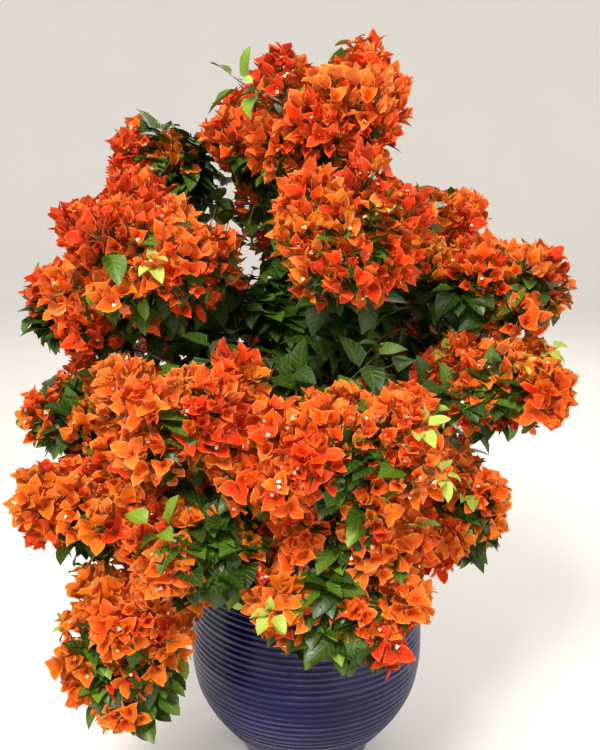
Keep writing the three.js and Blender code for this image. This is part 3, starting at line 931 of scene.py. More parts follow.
@dataclass
class PottingSoil:
    """The soil that fills the pot, crumbly on top, with bark chips and crumbs on it."""

    pot: GlazedPot
    level: float = 0.405
    settle: float = 0.007
    clearance: float = 0.0012
    crumb_height: float = 0.0022
    crumb_scale: float = 42.0
    rings: int = 30
    sides: int = 96
    chips: int = 620
    chip_shapes: int = 4
    chip_thickness: float = 0.45

    def edge(self, height: float) -> float:
        """The soil's radius at a height inside the pot."""
        return self.pot.inner(height) - self.clearance

    def top(self, x: float, y: float) -> float:
        """The height of the crumbly top at a place.

        Args:
            x: How far to the right the place is.
            y: How far back it is.

        Returns:
            The height.
        """
        out = min(math.hypot(x, y) / self.edge(self.level), 1)
        rough = noise.fractal(Vector((x, y, 0)) * self.crumb_scale, 1.0, 2.1, 4) * self.crumb_height
        return self.level - self.settle * out**2 - 0.001 + rough

    def build(self) -> None:
        """Builds the soil and what lies on it."""
        bm = bmesh.new()
        heights = np.linspace(self.pot.floor + 0.002, self.level - self.settle, 16)
        rows = [(0.0, float(heights[0]))] + [(self.edge(float(h)), float(h)) for h in heights]
        edge = rows[-1][0]
        rows += [(edge * (1 - k / self.rings), self.level) for k in range(1, self.rings + 1)]
        spin(bm, [bm.verts.new((radius, 0, height)) for radius, height in rows], self.sides)
        for vert in bm.verts:
            if vert.co.z > self.level - self.settle - 1e-4:
                vert.co.z = self.top(vert.co.x, vert.co.y)
        piece(finished(bm, "potting_soil"), SOIL, "soil", ["soil"])
        self.scatter()

    def scatter(self) -> None:
        """Lays bark chips and crumbs on the soil."""
        chance = Chance(57)
        stamps = []
        for _ in range(self.chip_shapes):
            bm = bmesh.new()
            bmesh.ops.create_icosphere(bm, subdivisions=1, radius=0.5)
            for vert in bm.verts:
                vert.co *= chance.between(0.7, 1.15)
            stamps.append(Stamp(bm))
        heap = Heap("bark_chips")
        for number in range(self.chips):
            spread = math.sqrt((number + 0.5) / self.chips)
            out = 0.035 + (self.edge(self.level) - 0.05) * spread
            angle = number * GOLDEN_ANGLE + chance.between(-0.3, 0.3)
            x, y = out * math.cos(angle), out * math.sin(angle)
            size = chance.between(0.004, 0.011)
            sizes = np.diag([size * chance.between(1.0, 2.0), size, size * self.chip_thickness])
            tilt = unit(point(chance.between(-0.3, 0.3), chance.between(-0.3, 0.3), 1))
            turn = standing(tilt, chance.between(0, 6.3)) @ sizes
            place = point(x, y, self.top(x, y) + size * 0.1)
            heap.stamp(stamps[number % self.chip_shapes], turn, place)
        piece(heap.mesh(), CHIPS, "soil", [])


# Wood


@dataclass(frozen=True)
class StemPlan:
    """A stem: its bends in millimetres from the foot, the mass it runs on into, its thickness."""

    bends: tuple[Triple, ...]
    into: str
    radius: float
    tip: float
    flare: float = 0.0
    start: float = 0.0
    sides: int = 16
    spacing: float = 0.008
    relief: float = 0.14


@dataclass(frozen=True)
class MassPlan:
    """A mass of foliage.

    It has its middle and half sizes, the stem its bough leaves, how far up, and the bough's arch.
    It may reach further to one side, be green throughout, or blossom on its sunny side alone.
    The middle, the half sizes and the arch are in millimetres.
    """

    name: str
    at: Triple
    half: Triple
    stem: str = ""
    up: float = 0.0
    arch: float = 0.0
    fuller: Triple = (0.0, 0.0, 0.0)
    leafy: bool = False
    sunny: Triple | None = None


TRUNK_BENDS = (
    (-4, 4, 385), (-12, 12, 520), (10, 34, 700), (26, 16, 900), (16, -14, 1080), (20, -34, 1205),
)
LEFT_BENDS = ((-10, 8, 478), (-66, -8, 600), (-128, 6, 800), (-176, 44, 1000), (-226, 80, 1130))
RIGHT_BENDS = ((-9, 14, 508), (58, -14, 640), (116, 4, 800), (158, 40, 940), (204, 90, 1040))

STEMS = {
    "trunk": StemPlan(TRUNK_BENDS, "crest", 0.018, 0.0044, 0.013, 0.012, 24, 0.006, 0.2),
    "cane_left": StemPlan(LEFT_BENDS, "left_shoulder", 0.011, 0.004),
    "cane_right": StemPlan(RIGHT_BENDS, "right_shoulder", 0.011, 0.004),
}

MASSES = [
    MassPlan("crest", (40, -96, 1292), (162, 132, 120), fuller=(-0.17, 0, 0.13)),
    MassPlan(
        "left_shoulder", (-268, 112, 1216), (130, 124, 118), fuller=(0.16, 0, -0.32),
        sunny=(-0.6, -0.1, 0.75),
    ),
    MassPlan("right_shoulder", (250, 150, 1086), (134, 130, 112)),
    MassPlan("crest_back", (-62, 140, 1250), (156, 130, 122), "trunk", 0.6, 40),
    MassPlan(
        "left_high", (-240, -190, 1050), (166, 134, 136), "cane_left", 0.55, 80, (-0.16, 0, 0.1)
    ),
    MassPlan("centre_high", (52, -250, 1110), (134, 118, 112), "trunk", 0.52, 70),
    MassPlan(
        "right_high", (352, -66, 1000), (176, 142, 116), "cane_right", 0.55, 70, (-0.12, 0, 0)
    ),
    MassPlan("left_side", (-448, 30, 940), (132, 140, 108), "cane_left", 0.42, 90, (0.2, 0, 0)),
    MassPlan("right_mid", (318, -144, 828), (156, 124, 106), "cane_right", 0.36, 70, (-0.02, 0, 0)),
    MassPlan("left_low", (-420, -74, 760), (156, 122, 106), "cane_left", 0.3, 90, (0.14, 0, 0.05)),
    MassPlan("centre_left", (-196, -316, 828), (146, 124, 114), "cane_left", 0.2, 110),
    MassPlan("centre_mid", (52, -358, 794), (170, 122, 122), "trunk", 0.34, 110, (0, 0, -0.04)),
    MassPlan(
        "left_skirt", (-376, -204, 616), (140, 118, 106), "cane_left", 0.14, 130, (0.12, 0, 0.26)
    ),
    MassPlan("skirt_left", (-154, -336, 614), (152, 116, 122), "trunk", 0.24, 120),
    MassPlan("skirt_centre", (44, -350, 536), (168, 112, 178), "trunk", 0.19, 150),
    MassPlan(
        "right_skirt", (286, -104, 586), (122, 122, 156), "cane_right", 0.2, 120, (-0.45, 0, -0.14)
    ),
    MassPlan(
        "left_tail", (-322, -286, 392), (124, 112, 206), "cane_left", 0.07, 210, (0.16, 0, 0.08)
    ),
    MassPlan("heart", (14, -50, 950), (186, 140, 128), "trunk", 0.42, 10, leafy=True),
    MassPlan("back_high", (34, 300, 1056), (172, 124, 130), "trunk", 0.46, 60),
    MassPlan("back_left", (-250, 256, 900), (158, 136, 132), "cane_left", 0.36, 80),
    MassPlan("back_right", (264, 254, 846), (160, 136, 132), "cane_right", 0.3, 80),
    MassPlan("back_mid", (2, 380, 790), (160, 112, 136), "trunk", 0.3, 90),
    MassPlan("back_low_left", (-236, 272, 602), (152, 122, 126), "trunk", 0.22, 110),
    MassPlan("back_low_right", (214, 290, 560), (160, 120, 130), "cane_right", 0.12, 99),
]


class Space:
    """How the masses share out the crown, and what foliage keeps clear of."""

    LIGHT_STEPS = (0.05, 0.1)
    SHADED_SHARE = 0.44
    LOWEST = 0.09
    RIM_GAP = 0.004

    def __init__(self, pot: GlazedPot) -> None:
        """Takes in the masses.

        Args:
            pot: The pot, which nothing grows into.
        """
        self.pot = pot
        self.centres = np.array([plan.at for plan in MASSES]) / MILLIMETRES
        self.halves = np.array([plan.half for plan in MASSES]) / MILLIMETRES
        self.weights = self.halves.mean(axis=1) ** 2

    def room(self, index: int, place: np.ndarray) -> float:
        """How far inside a mass's space a point is.

        Args:
            index: The mass.
            place: The point.

        Returns:
            The distance, less than 0 outside it.
        """
        powers = ((self.centres - place) ** 2).sum(axis=1) - self.weights
        spans = np.linalg.norm(self.centres - self.centres[index], axis=1)
        spans[index] = 1.0
        rooms = (powers - powers[index]) / (2 * spans)
        rooms[index] = np.inf
        return float(rooms.min())

    def shares(self, place: np.ndarray) -> np.ndarray:
        """A point's distance from each mass's middle as a share of that mass's reach."""
        return np.linalg.norm((place - self.centres) / self.halves, axis=1)

    def outward(self, index: int) -> np.ndarray:
        """The level direction from the plant's middle line to a mass."""
        x, y, _ = self.centres[index]
        return unit(point(x, y, 0))

    def exposed(self, index: int, place: np.ndarray, way: np.ndarray) -> bool:
        """True where nothing of the other masses lies close in front of a point.

        Args:
            index: The mass that the point belongs to.
            place: The point.
            way: Where it looks.

        Returns:
            Whether it is open to the light.
        """
        for step in self.LIGHT_STEPS:
            shares = self.shares(place + way * step)
            shares[index] = np.inf
            if shares.min() < self.SHADED_SHARE:
                return False
        return True

    def clear(self, place: np.ndarray, margin: float) -> bool:
        """True where a point hangs clear of the pot and not too low, by a margin.

        Args:
            place: The point.
            margin: The margin, halved over the rim.

        Returns:
            Whether it is clear.
        """
        x, y, z = place
        if z < self.LOWEST + margin:
            return False
        if z > self.pot.height + self.RIM_GAP + margin * 0.5:
            return True
        return math.hypot(x, y) > self.pot.radius(z) + margin


@dataclass
class Limb:
    """A stem or bough: the wood's curve and its thickness."""

    wood: Path
    foot: float
    tip: float
    flare: float = 0.0
    taper: float = 1.0
    flare_share: float = 0.12
    lobe_depth: float = 0.16

    def build(self, bm: bmesh.types.BMesh, sides: int, spacing: float, relief: float) -> None:
        """Extrudes the limb along its curve, with furrows and knots in its bark.

        Args:
            bm: Where it is built.
            sides: How many sides it has.
            spacing: The distance between its rings.
            relief: How deep its furrows are, as a share of its radius.
        """
        steps = max(6, int(self.wood.length / spacing))
        places = np.array([self.wood.at(share) for share in np.linspace(0, 1, steps + 1)])
        first, second = sideways(places)
        ring = bmesh.ops.create_circle(bm, cap_ends=True, segments=sides, radius=1.0)["verts"]
        cap = ring[0].link_faces[0]
        for step in range(steps + 1):
            if step:
                grown = bmesh.ops.extrude_face_region(bm, geom=[cap])["geom"]
                cap = next(item for item in grown if isinstance(item, bmesh.types.BMFace))
                ring = list(cap.verts)
            share = step / steps
            length = share * self.wood.length
            low = max(0.0, 1 - share / self.flare_share)
            radius = self.foot + (self.tip - self.foot) * share**self.taper + self.flare * low**2
            for k, vert in enumerate(ring):
                angle = FULL_TURN * k / len(ring)
                across = first[step] * math.cos(angle) + second[step] * math.sin(angle)
                # Furrows wind slowly round the limb, and knots swell it here and there
                wind = angle + length * 5
                grain = Vector((math.cos(wind) * 1.7, math.sin(wind) * 1.7, length * 9))
                furrow = noise.noise(grain * 1.5) * relief
                bumps = noise.noise(Vector((wind * 0.5, length * 22, radius * 90)))
                knot = max(0.0, bumps - 0.25) * relief * 1.2
                lobes = math.cos(angle * 5 + 0.6) * self.lobe_depth * (self.flare > 0) * low
                vert.co = Vector(places[step] + across * radius * (1 + furrow + knot + lobes))


class Framework:
    """The trunk, the canes and the boughs, and the shoots that run on from them."""

    BOUGH_FOOT = 0.0056
    BOUGH_TIP = 0.0032
    SHOOT_TIP = 0.0016
    BOUGH_BUILD = (10, 0.012, 0.1)

    def __init__(self, space: Space) -> None:
        """Works out every limb.

        Args:
            space: How the masses share out the crown.
        """
        self.space = space
        self.limbs: dict[str, Limb] = {}
        self.shoots: dict[str, Twig] = {}
        names = [plan.name for plan in MASSES]
        for name, plan in STEMS.items():
            self.add_stem(name, plan, names.index(plan.into))
        for index, plan in enumerate(MASSES):
            if plan.stem:
                self.add_bough(index, plan)

    def shoot_end(self, index: int, start: np.ndarray) -> np.ndarray:
        """Where a mass's shoot ends: low shoots hang down, and high ones rise.

        Args:
            index: The mass.
            start: Where its limb starts.

        Returns:
            The end.
        """
        centre = self.space.centres[index]
        half = self.space.halves[index]
        out = centre - start
        out[2] = 0
        end = centre + unit(out) * half[0] * 0.3
        end[2] += half[2] * clamp((centre[2] - 0.95) / 0.35, -0.65, 0.6)
        return end

    def part(self, index: int, whole: Path, earliest: float) -> float:
        """How far along a limb's curve its wood ends and the mass's shoot begins.

        Args:
            index: The mass.
            whole: The curve.
            earliest: The least share.

        Returns:
            The share of the curve.
        """
        share = earliest
        while share < 0.75:
            place = whole.at(share)
            if self.space.room(index, place) > 0.01 and self.space.shares(place)[index] < 0.72:
                break
            share += 0.01
        return share

    def add_shoot(self, name: str, whole: Path, start: float, foot: float) -> None:
        """Runs a mass's shoot on along a limb's curve."""
        path = whole.stretch(start, 1, 40)
        self.shoots[name] = Twig(path, foot, self.SHOOT_TIP, path.way(1.0))

    def add_stem(self, name: str, plan: StemPlan, index: int) -> None:
        """Works out a stem and its shoot.

        Args:
            name: The stem's name.
            plan: Its bends and thickness.
            index: Which mass it goes to.
        """
        bends = [point(*bend) / MILLIMETRES for bend in plan.bends]
        ends = [self.space.centres[index], self.shoot_end(index, bends[0])]
        whole = Path.through([*bends, *ends])
        share = self.part(index, whole, 0.6)
        wood = whole.stretch(plan.start, share, 120)
        self.limbs[name] = Limb(wood, plan.radius, plan.tip, plan.flare, 0.8)
        self.add_shoot(plan.into, whole, share - 0.004, plan.tip)

    def add_bough(self, index: int, plan: MassPlan) -> None:
        """Works out a bough and its shoot.

        Args:
            index: Which mass it goes to.
            plan: The mass.
        """
        start = self.limbs[plan.stem].wood.at(plan.up)
        centre = self.space.centres[index]
        middle = (start + centre) / 2 + point(0, 0, plan.arch / MILLIMETRES)
        whole = Path.through([start, middle, centre, self.shoot_end(index, start)])
        share = self.part(index, whole, 0.2)
        wood = whole.stretch(0, share)
        self.limbs[f"bough_{plan.name}"] = Limb(wood, self.BOUGH_FOOT, self.BOUGH_TIP)
        self.add_shoot(plan.name, whole, share - 0.006, self.BOUGH_TIP)

    def build(self) -> None:
        """Builds the wood in bark."""
        for name, plan in STEMS.items():
            bm = bmesh.new()
            self.limbs[name].build(bm, plan.sides, plan.spacing, plan.relief)
            piece(finished(bm, f"{name}_bark"), OLD_BARK, "bark", [name])
        bm = bmesh.new()
        boughs = [name for name in self.limbs if name not in STEMS]
        for name in boughs:
            self.limbs[name].build(bm, *self.BOUGH_BUILD)
        piece(finished(bm, "boughs_bark"), YOUNG_BARK, "bark", boughs)


# Blossom and leaves


@dataclass(frozen=True)
class Blade:
    """A thin pointed blade, shaped from a grid: a bract or a leaf. Its angles are in degrees."""

    length: float
    width: float
    round_foot: float
    drawn_tip: float
    lean: float
    bend: float
    cup: float
    ripple: float
    twist: float = 0.0
    columns: int = 2
    rows: int = 5

    def breadth(self, along: float) -> float:
        """The blade's breadth at a share of its length.

        Args:
            along: The share of its length.

        Returns:
            The breadth as a share of the broadest.
        """
        peak = self.round_foot / (self.round_foot + self.drawn_tip)
        most = peak**self.round_foot * (1 - peak) ** self.drawn_tip
        return along**self.round_foot * max(1 - along, 0.0) ** self.drawn_tip / most

    def shape(self, bm: bmesh.types.BMesh, turn: float, foot: float) -> None:
        """Adds the blade, leaning out from the Z axis.

        Args:
            bm: Where it is built.
            turn: Its turn about the axis, in radians.
            foot: How far from the axis it starts.
        """
        layer = bm.loops.layers.uv.verify()
        grid = {"x_segments": self.columns, "y_segments": self.rows, "size": 0.5}
        made = bmesh.ops.create_grid(bm, **grid)["verts"]
        lean, bend = math.radians(self.lean), math.radians(self.bend)
        for vert in made:
            for loop in vert.link_loops:
                loop[layer].uv = (vert.co.x + 0.5, vert.co.y + 0.5)
        for vert in made:
            across, along = vert.co.x * 2, vert.co.y + 0.5
            angle = lean + bend * along
            out = self.length * (math.cos(lean) - math.cos(angle)) / bend
            rise = self.length * (math.sin(angle) - math.sin(lean)) / bend
            half = self.width / 2 * self.breadth(along)
            wave = self.ripple * math.sin(along * 8 + across * 1.3 + turn)
            side, lift = half * across, half * abs(across) ** 1.4 * (self.cup + wave)
            roll = math.radians(self.twist) * along
            turned = side * math.cos(roll) - lift * math.sin(roll)
            lift = side * math.sin(roll) + lift * math.cos(roll)
            reach = foot + out - math.cos(angle) * lift
            vert.co = Vector((reach, turned, rise + math.sin(angle) * lift))
        bmesh.ops.remove_doubles(bm, verts=made, dist=MERGE_GAP)
        left = [vert for vert in made if vert.is_valid]
        bmesh.ops.rotate(bm, verts=left, cent=(0, 0, 0), matrix=Matrix.Rotation(turn, 3, "Z"))


@dataclass
class Stamps:
    """The small shapes that the crown repeats."""

    bract_length: float = 0.034
    bract_round: float = 0.56
    open_shape: tuple[float, float] = (0.025, 0.9)
    open_angles: tuple[tuple[int, int], ...] = (
        (10, 20), (16, 26), (22, 32), (28, 34), (34, 40), (42, 44),
    )
    upright_shape: tuple[float, float] = (0.0215, 1.12)
    upright_angles: tuple[tuple[int, int], ...] = ((6, 12), (10, 18), (14, 24), (20, 26), (26, 32))
    leaf_shape: tuple[float, ...] = (0.057, 0.037, 0.44, 0.98, 78)
    leaf_droops: Triple = (26, 44, 62)
    inner_leaf_shape: tuple[float, ...] = (0.062, 0.041, 0.44, 0.98, 80, 40, 0.3, 0.0)
    star_sizes: tuple[float, float] = (0.0036, 0.0044)
    tube_length: float = 0.015

    def __post_init__(self) -> None:
        """Shapes them."""
        chance = Chance(11)
        self.florets = [self.floret(chance, *self.open_shape, *pair) for pair in self.open_angles]
        flames = [self.floret(chance, *self.upright_shape, *pair) for pair in self.upright_angles]
        self.upright_florets = flames
        self.leaves = [self.leaf(chance, droop) for droop in self.leaf_droops]
        bm = bmesh.new()
        Blade(*self.inner_leaf_shape, rows=4).shape(bm, 0.0, 0.004)
        self.inner_leaf = Stamp(bm)
        self.stars = [self.star(size) for size in self.star_sizes]
        bm = bmesh.new()
        middle = Matrix.Translation((0, 0, self.tube_length / 2))
        self.add_stalk(bm, 0.0014, 0.0010, self.tube_length, middle)
        self.tube = Stamp(bm)

    def add_stalk(
        self, bm: bmesh.types.BMesh, foot: float, tip: float, length: float, place: Matrix
    ) -> None:
        """Adds a thin stalk of three sides."""
        radii = {"radius1": foot, "radius2": tip}
        bmesh.ops.create_cone(bm, cap_ends=True, segments=3, depth=length, matrix=place, **radii)

    def floret(self, chance: Chance, width: float, drawn: float, lean: float, bend: float) -> Stamp:
        """Three bracts round an axis.

        Args:
            chance: The stream that makes the three differ.
            width: How broad they are.
            drawn: How long their tips are drawn out.
            lean: How far they lean out at the foot, in degrees.
            bend: How much further they lean at the tip.

        Returns:
            The stamp.
        """
        bm = bmesh.new()
        for k in range(3):
            length = self.bract_length * chance.between(0.88, 1.1)
            angles = (lean + chance.between(-10, 10), bend + chance.between(-12, 12))
            fold = chance.between(0.3, 0.6)
            twist = chance.between(-34, 34)
            blade = Blade(length, width, self.bract_round, drawn, *angles, fold, 0.3, twist)
            blade.shape(bm, math.radians(120 * k + chance.between(-12, 12)), 0.0014)
        return Stamp(bm)

    def leaf(self, chance: Chance, droop: float) -> Stamp:
        """A leaf on its stalk, out along X.

        Args:
            chance: The stream that makes the leaves differ.
            droop: How far the leaf droops along its length, in degrees.

        Returns:
            The stamp.
        """
        bm = bmesh.new()
        ripple = 0.16 * chance.between(0.8, 1.2)
        twist = chance.between(-25, 25)
        blade = Blade(*self.leaf_shape, droop, 0.36, ripple, twist, columns=4)
        blade.shape(bm, 0.0, 0.013)
        place = Matrix.Translation((0.0075, 0, 0.0)) @ Matrix.Rotation(math.pi / 2, 4, "Y")
        self.add_stalk(bm, 0.0009, 0.0006, 0.017, place)
        return Stamp(bm)

    def star(self, radius: float) -> Stamp:
        """The open mouth of a small flower: a five-pointed star, its middle pressed in.

        Args:
            radius: How far its points reach.

        Returns:
            The stamp.
        """
        bm = bmesh.new()
        disc = {"cap_ends": True, "cap_tris": True, "segments": 10, "radius": radius}
        for vert in bmesh.ops.create_circle(bm, **disc)["verts"]:
            if vert.co.length > 1e-6:
                corner = round(math.atan2(vert.co.y, vert.co.x) / (math.pi / 5))
                share = 1.0 if corner % 2 else 0.62
                vert.co *= share
                vert.co.z = 0.0006 * share
            else:
                vert.co.z = -0.0012
        return Stamp(bm)


@dataclass
class Mass:
    """A mass as it grows: its number and plan, its place, its stream and its twigs so far."""

    index: int
    plan: MassPlan
    centre: np.ndarray
    half: np.ndarray
    outward: np.ndarray
    chance: Chance
    grown: list[Twig]


@dataclass
class Crown:
    """Everything that grows on the wood: twigs, leaves, bracts and small flowers."""

    space: Space
    framework: Framework
    stamps: Stamps = field(default_factory=Stamps)
    # How the sprays are laid out over a mass
    directions_tried: int = 180
    reach_tried: tuple[float, ...] = (1.0, 0.94, 0.88, 0.8, 0.72, 0.62)
    blossom_reach: float = 0.6
    squareness: float = 2.3
    swell_scale: float = 2.4
    swell: Triple = (0.98, 0.6, 1.07)
    truss_depth: float = 0.05
    spacing: float = 0.061
    cell_margin: float = 0.008
    pot_margin: float = 0.03
    blossom_sink: float = 0.026
    leaf_sink: float = 0.036
    underside_high: float = -0.68
    underside_low: float = -0.88
    leafy_share: float = 0.02
    low_leafy_share: float = 0.2
    low_thinning: float = 0.42
    inner_share: float = 0.36
    inner_reach: tuple[float, float] = (0.2, 0.62)
    # Runners and spurs
    runners: int = 5
    runner_width: float = 0.49
    runner_depth: float = 0.43
    runner_fullness: float = 0.5
    young_share: float = 0.16
    spur_spacing: float = 0.02
    spur_fullness: float = 0.45
    spur_reach: tuple[float, float] = (0.06, 0.19)
    stem_bare_share: float = 0.42
    bough_bare_share: float = 0.28
    # Twigs
    shoot_forks: tuple[float, ...] = (0.12, 0.3, 0.48, 0.66, 0.84)
    twig_forks: tuple[float, ...] = (0.35, 0.6)
    twig_foot: float = 0.0019
    twig_tip: float = 0.0009
    shortest_twig: float = 0.03
    # Sprays and leaves
    dome: float = 0.046
    floret_share: float = 0.00125
    inner_florets: int = 5
    flower_share: float = 0.5
    star_share: float = 0.42
    star_height: float = 0.0155
    tuft_share: float = 0.13
    tuft_leaves: int = 5
    leaf_droop: float = -0.42
    young_size: float = 0.58
    low_height: float = 0.62
    leaf_weights: tuple[float, ...] = (0.6, 0.34, 0.06, 0.0)
    spray_leaf_weights: tuple[float, ...] = (0.34, 0.46, 0.2, 0.0)
    low_leaf_weights: tuple[float, ...] = (0.2, 0.44, 0.32, 0.04)
    shoot_leaf_weights: tuple[float, ...] = (0.0, 0.4, 0.45, 0.15)
    collar_weights: tuple[float, ...] = (0.3, 0.42, 0.24, 0.04)

    def __post_init__(self) -> None:
        """Sets out the heaps that the crown is sorted into."""
        self.bracts = {tint: Heap(tint.value.name) for tint in BlossomTint}
        self.leaves = {tint: Heap(tint.value.name) for tint in LeafTint}
        self.twigs = Heap("twigs")
        self.green = Heap("flower_stalks")
        self.stars = Heap("flower_stars")
        self.tubes = Heap("flower_tubes")

    def directions(self, chance: Chance) -> Iterator[np.ndarray]:
        """Directions spread evenly over a ball by the golden angle, far apart in turn.

        Args:
            chance: The stream that shifts them a little.

        Yields:
            The directions.
        """
        tried = self.directions_tried
        for k in range(tried):
            n = (k * 47) % tried
            z = 1 - 2 * (n + 0.5) / tried
            turn = n * GOLDEN_ANGLE + chance.share() * 0.5
            flat = math.sqrt(1 - z * z)
            yield point(flat * math.cos(turn), flat * math.sin(turn), z)

    def grow(self) -> None:
        """Grows every mass from its shoot, and the spurs along the wood."""
        for index, plan in enumerate(MASSES):
            shoot = self.framework.shoots[plan.name]
            run = np.array([shoot.path.at(share) for share in np.linspace(0, 1, 14)])
            self.twigs.tube(run, np.linspace(shoot.foot, shoot.tip, 14), 6)
            chance = Chance(GROWTH_SEED + MASS_SEED_STEP * index)
            place = (self.space.centres[index], self.space.halves[index], self.space.outward(index))
            mass = Mass(index, plan, *place, chance, [shoot])
            self.grow_sprays(mass)
            if not plan.leafy:
                self.grow_runners(mass)
            self.grow_inside(mass)
        self.grow_spurs()

    def fits(self, mass: Mass, tip: np.ndarray, margin: float) -> bool:
        """Whether a tip is inside a mass's space by a margin, and clear of the pot."""
        return self.space.room(mass.index, tip) >= margin and self.space.clear(tip, self.pot_margin)

    def grow_sprays(self, mass: Mass) -> None:
        """Grows sprays evenly over a mass, each as far out as its space goes.

        Args:
            mass: The mass.
        """
        index, chance = mass.index, mass.chance
        tips: list[np.ndarray] = []
        least, gain, most = self.swell
        for way in self.directions(Chance(LAYOUT_SEED + MASS_SEED_STEP * index)):
            outward = unit(way * 0.8 + mass.outward * 0.5 + point(0, 0, 0.55))
            swell = noise.noise(Vector(way * self.swell_scale) + Vector((index * 3.7, 9.0, 0)))
            corner = (np.abs(way) ** self.squareness).sum() ** (-1 / self.squareness)
            fuller = 1 + way.dot(mass.plan.fuller)
            ray = way * mass.half * corner * fuller * min(least + gain * swell, most)
            span = float(np.linalg.norm(ray))
            for reach in self.reach_tried:
                tip = mass.centre + ray * (reach - self.truss_depth / span)
                if not self.fits(mass, tip, self.cell_margin):
                    continue
                if any(np.linalg.norm(tip - other) < self.spacing for other in tips):
                    continue
                tips.append(tip)
                low = clamp((0.72 - tip[2]) / 0.3, 0, 1)
                blossom = (
                    self.bears(mass, way)
                    and reach > self.blossom_reach
                    and self.space.exposed(index, tip, outward)
                    and chance.share() > self.leafy_share + self.low_leafy_share * low
                )
                sink = self.blossom_sink * chance.share() ** 2 if blossom else self.leaf_sink
                twig = self.grow_twig(mass.grown, tip - unit(ray) * sink, outward, chance)
                mass.grown.append(twig)
                self.dress_twig(twig, blossom, chance, 1.0 - self.low_thinning * low)
                break

    def bears(self, mass: Mass, way: np.ndarray) -> bool:
        """Whether a mass bears blossom on one of its sides.

        Args:
            mass: The mass.
            way: The side, as a direction from the mass's middle.

        Returns:
            Whether it does: not inside the crown, not on the underside, not where it is green.
        """
        plan = mass.plan
        if plan.leafy or (plan.sunny and way.dot(plan.sunny) < 0.0):
            return False
        high = mass.centre[2] > 0.5
        underside = way[2] < (self.underside_high if high else self.underside_low)
        return not underside and (way.dot(mass.outward) > -0.3 or way[2] > 0.1)

    def grow_runners(self, mass: Mass) -> None:
        """Grows a few longer twigs that break the mass's outline with a small spray each.

        Args:
            mass: The mass.
        """
        chance = mass.chance
        for _ in range(self.runners):
            way = unit(mass.outward + chance.push(1.0))
            young = chance.share() < self.young_share
            reach = chance.between(0.98, 1.12) if young else chance.between(0.82, 1.0)
            tip = mass.centre + way * mass.half * (1 + way.dot(mass.plan.fuller)) * reach
            outward = unit(way + point(0, 0, 0.2))
            if not self.fits(mass, tip, self.cell_margin):
                continue
            if abs(tip[0]) > self.runner_width or abs(tip[1]) > self.runner_depth:
                continue
            if not self.bears(mass, way) or not self.space.exposed(mass.index, tip, outward):
                continue
            twig = self.grow_twig(mass.grown, tip, outward, chance)
            if young:
                self.dress_shoot(twig, chance)
            else:
                self.dress_twig(twig, True, chance, self.runner_fullness)

    def grow_inside(self, mass: Mass) -> None:
        """Grows plain leafy twigs in the inside of a mass.

        Args:
            mass: The mass.
        """
        chance = mass.chance
        for way in self.directions(chance):
            if chance.share() > self.inner_share:
                continue
            tip = mass.centre + way * mass.half * chance.between(*self.inner_reach)
            if self.fits(mass, tip, 0):
                outward = unit(way + point(0, 0, 0.3))
                self.dress_inner_twig(self.grow_twig(mass.grown, tip, outward, chance), chance)

    def grow_spurs(self) -> None:
        """Grows spurs along the boughs and the upper stems.

        They are leafy within, and bear a spray where they see the light.
        """
        for number, (name, limb) in enumerate(self.framework.limbs.items()):
            chance = Chance(SPUR_SEED + SPUR_SEED_STEP * number)
            first = self.stem_bare_share if name in STEMS else self.bough_bare_share
            count = int(limb.wood.length * (1 - first) / self.spur_spacing)
            for k in range(count):
                share = first + (1 - first) * (k + chance.share()) / count
                start = limb.wood.at(share)
                along = limb.wood.way(share)
                side = standing(along, k * GOLDEN_ANGLE + chance.share())[:, 0]
                level = unit(point(start[0], start[1] - 0.02, 0.0))
                outward = unit(side + level * 0.45 + point(0, 0, 0.35) + along * 0.3)
                tip = start + outward * chance.between(*self.spur_reach)
                low = start[2] < self.space.pot.height + 0.05
                if low or not self.space.clear(tip, self.pot_margin):
                    continue
                twig = Twig(Path.arch(start, start + side * 0.03, tip, 5), 0.0016, 0.0008, outward)
                self.twigs.tube(twig.path.points, np.linspace(twig.foot, twig.tip, 5), 4)
                if outward.dot(level) > 0.1 and self.spur_bears(tip, outward):
                    self.dress_twig(twig, True, chance, self.spur_fullness)
                self.dress_inner_twig(twig, chance)

    def spur_bears(self, tip: np.ndarray, outward: np.ndarray) -> bool:
        """Whether a spur sees enough light for a spray.

        Args:
            tip: Its end.
            outward: Where its end looks.

        Returns:
            Whether it does: not deep in a mass, and not in the green opening at the front.
        """
        shares = self.space.shares(tip)
        nearest = int(shares.argmin())
        hollow = min(share for share, plan in zip(shares, MASSES) if plan.leafy)
        free = hollow > 2.5 or tip[1] > 0.08
        return shares[nearest] > 0.8 and free and self.space.exposed(nearest, tip, outward)

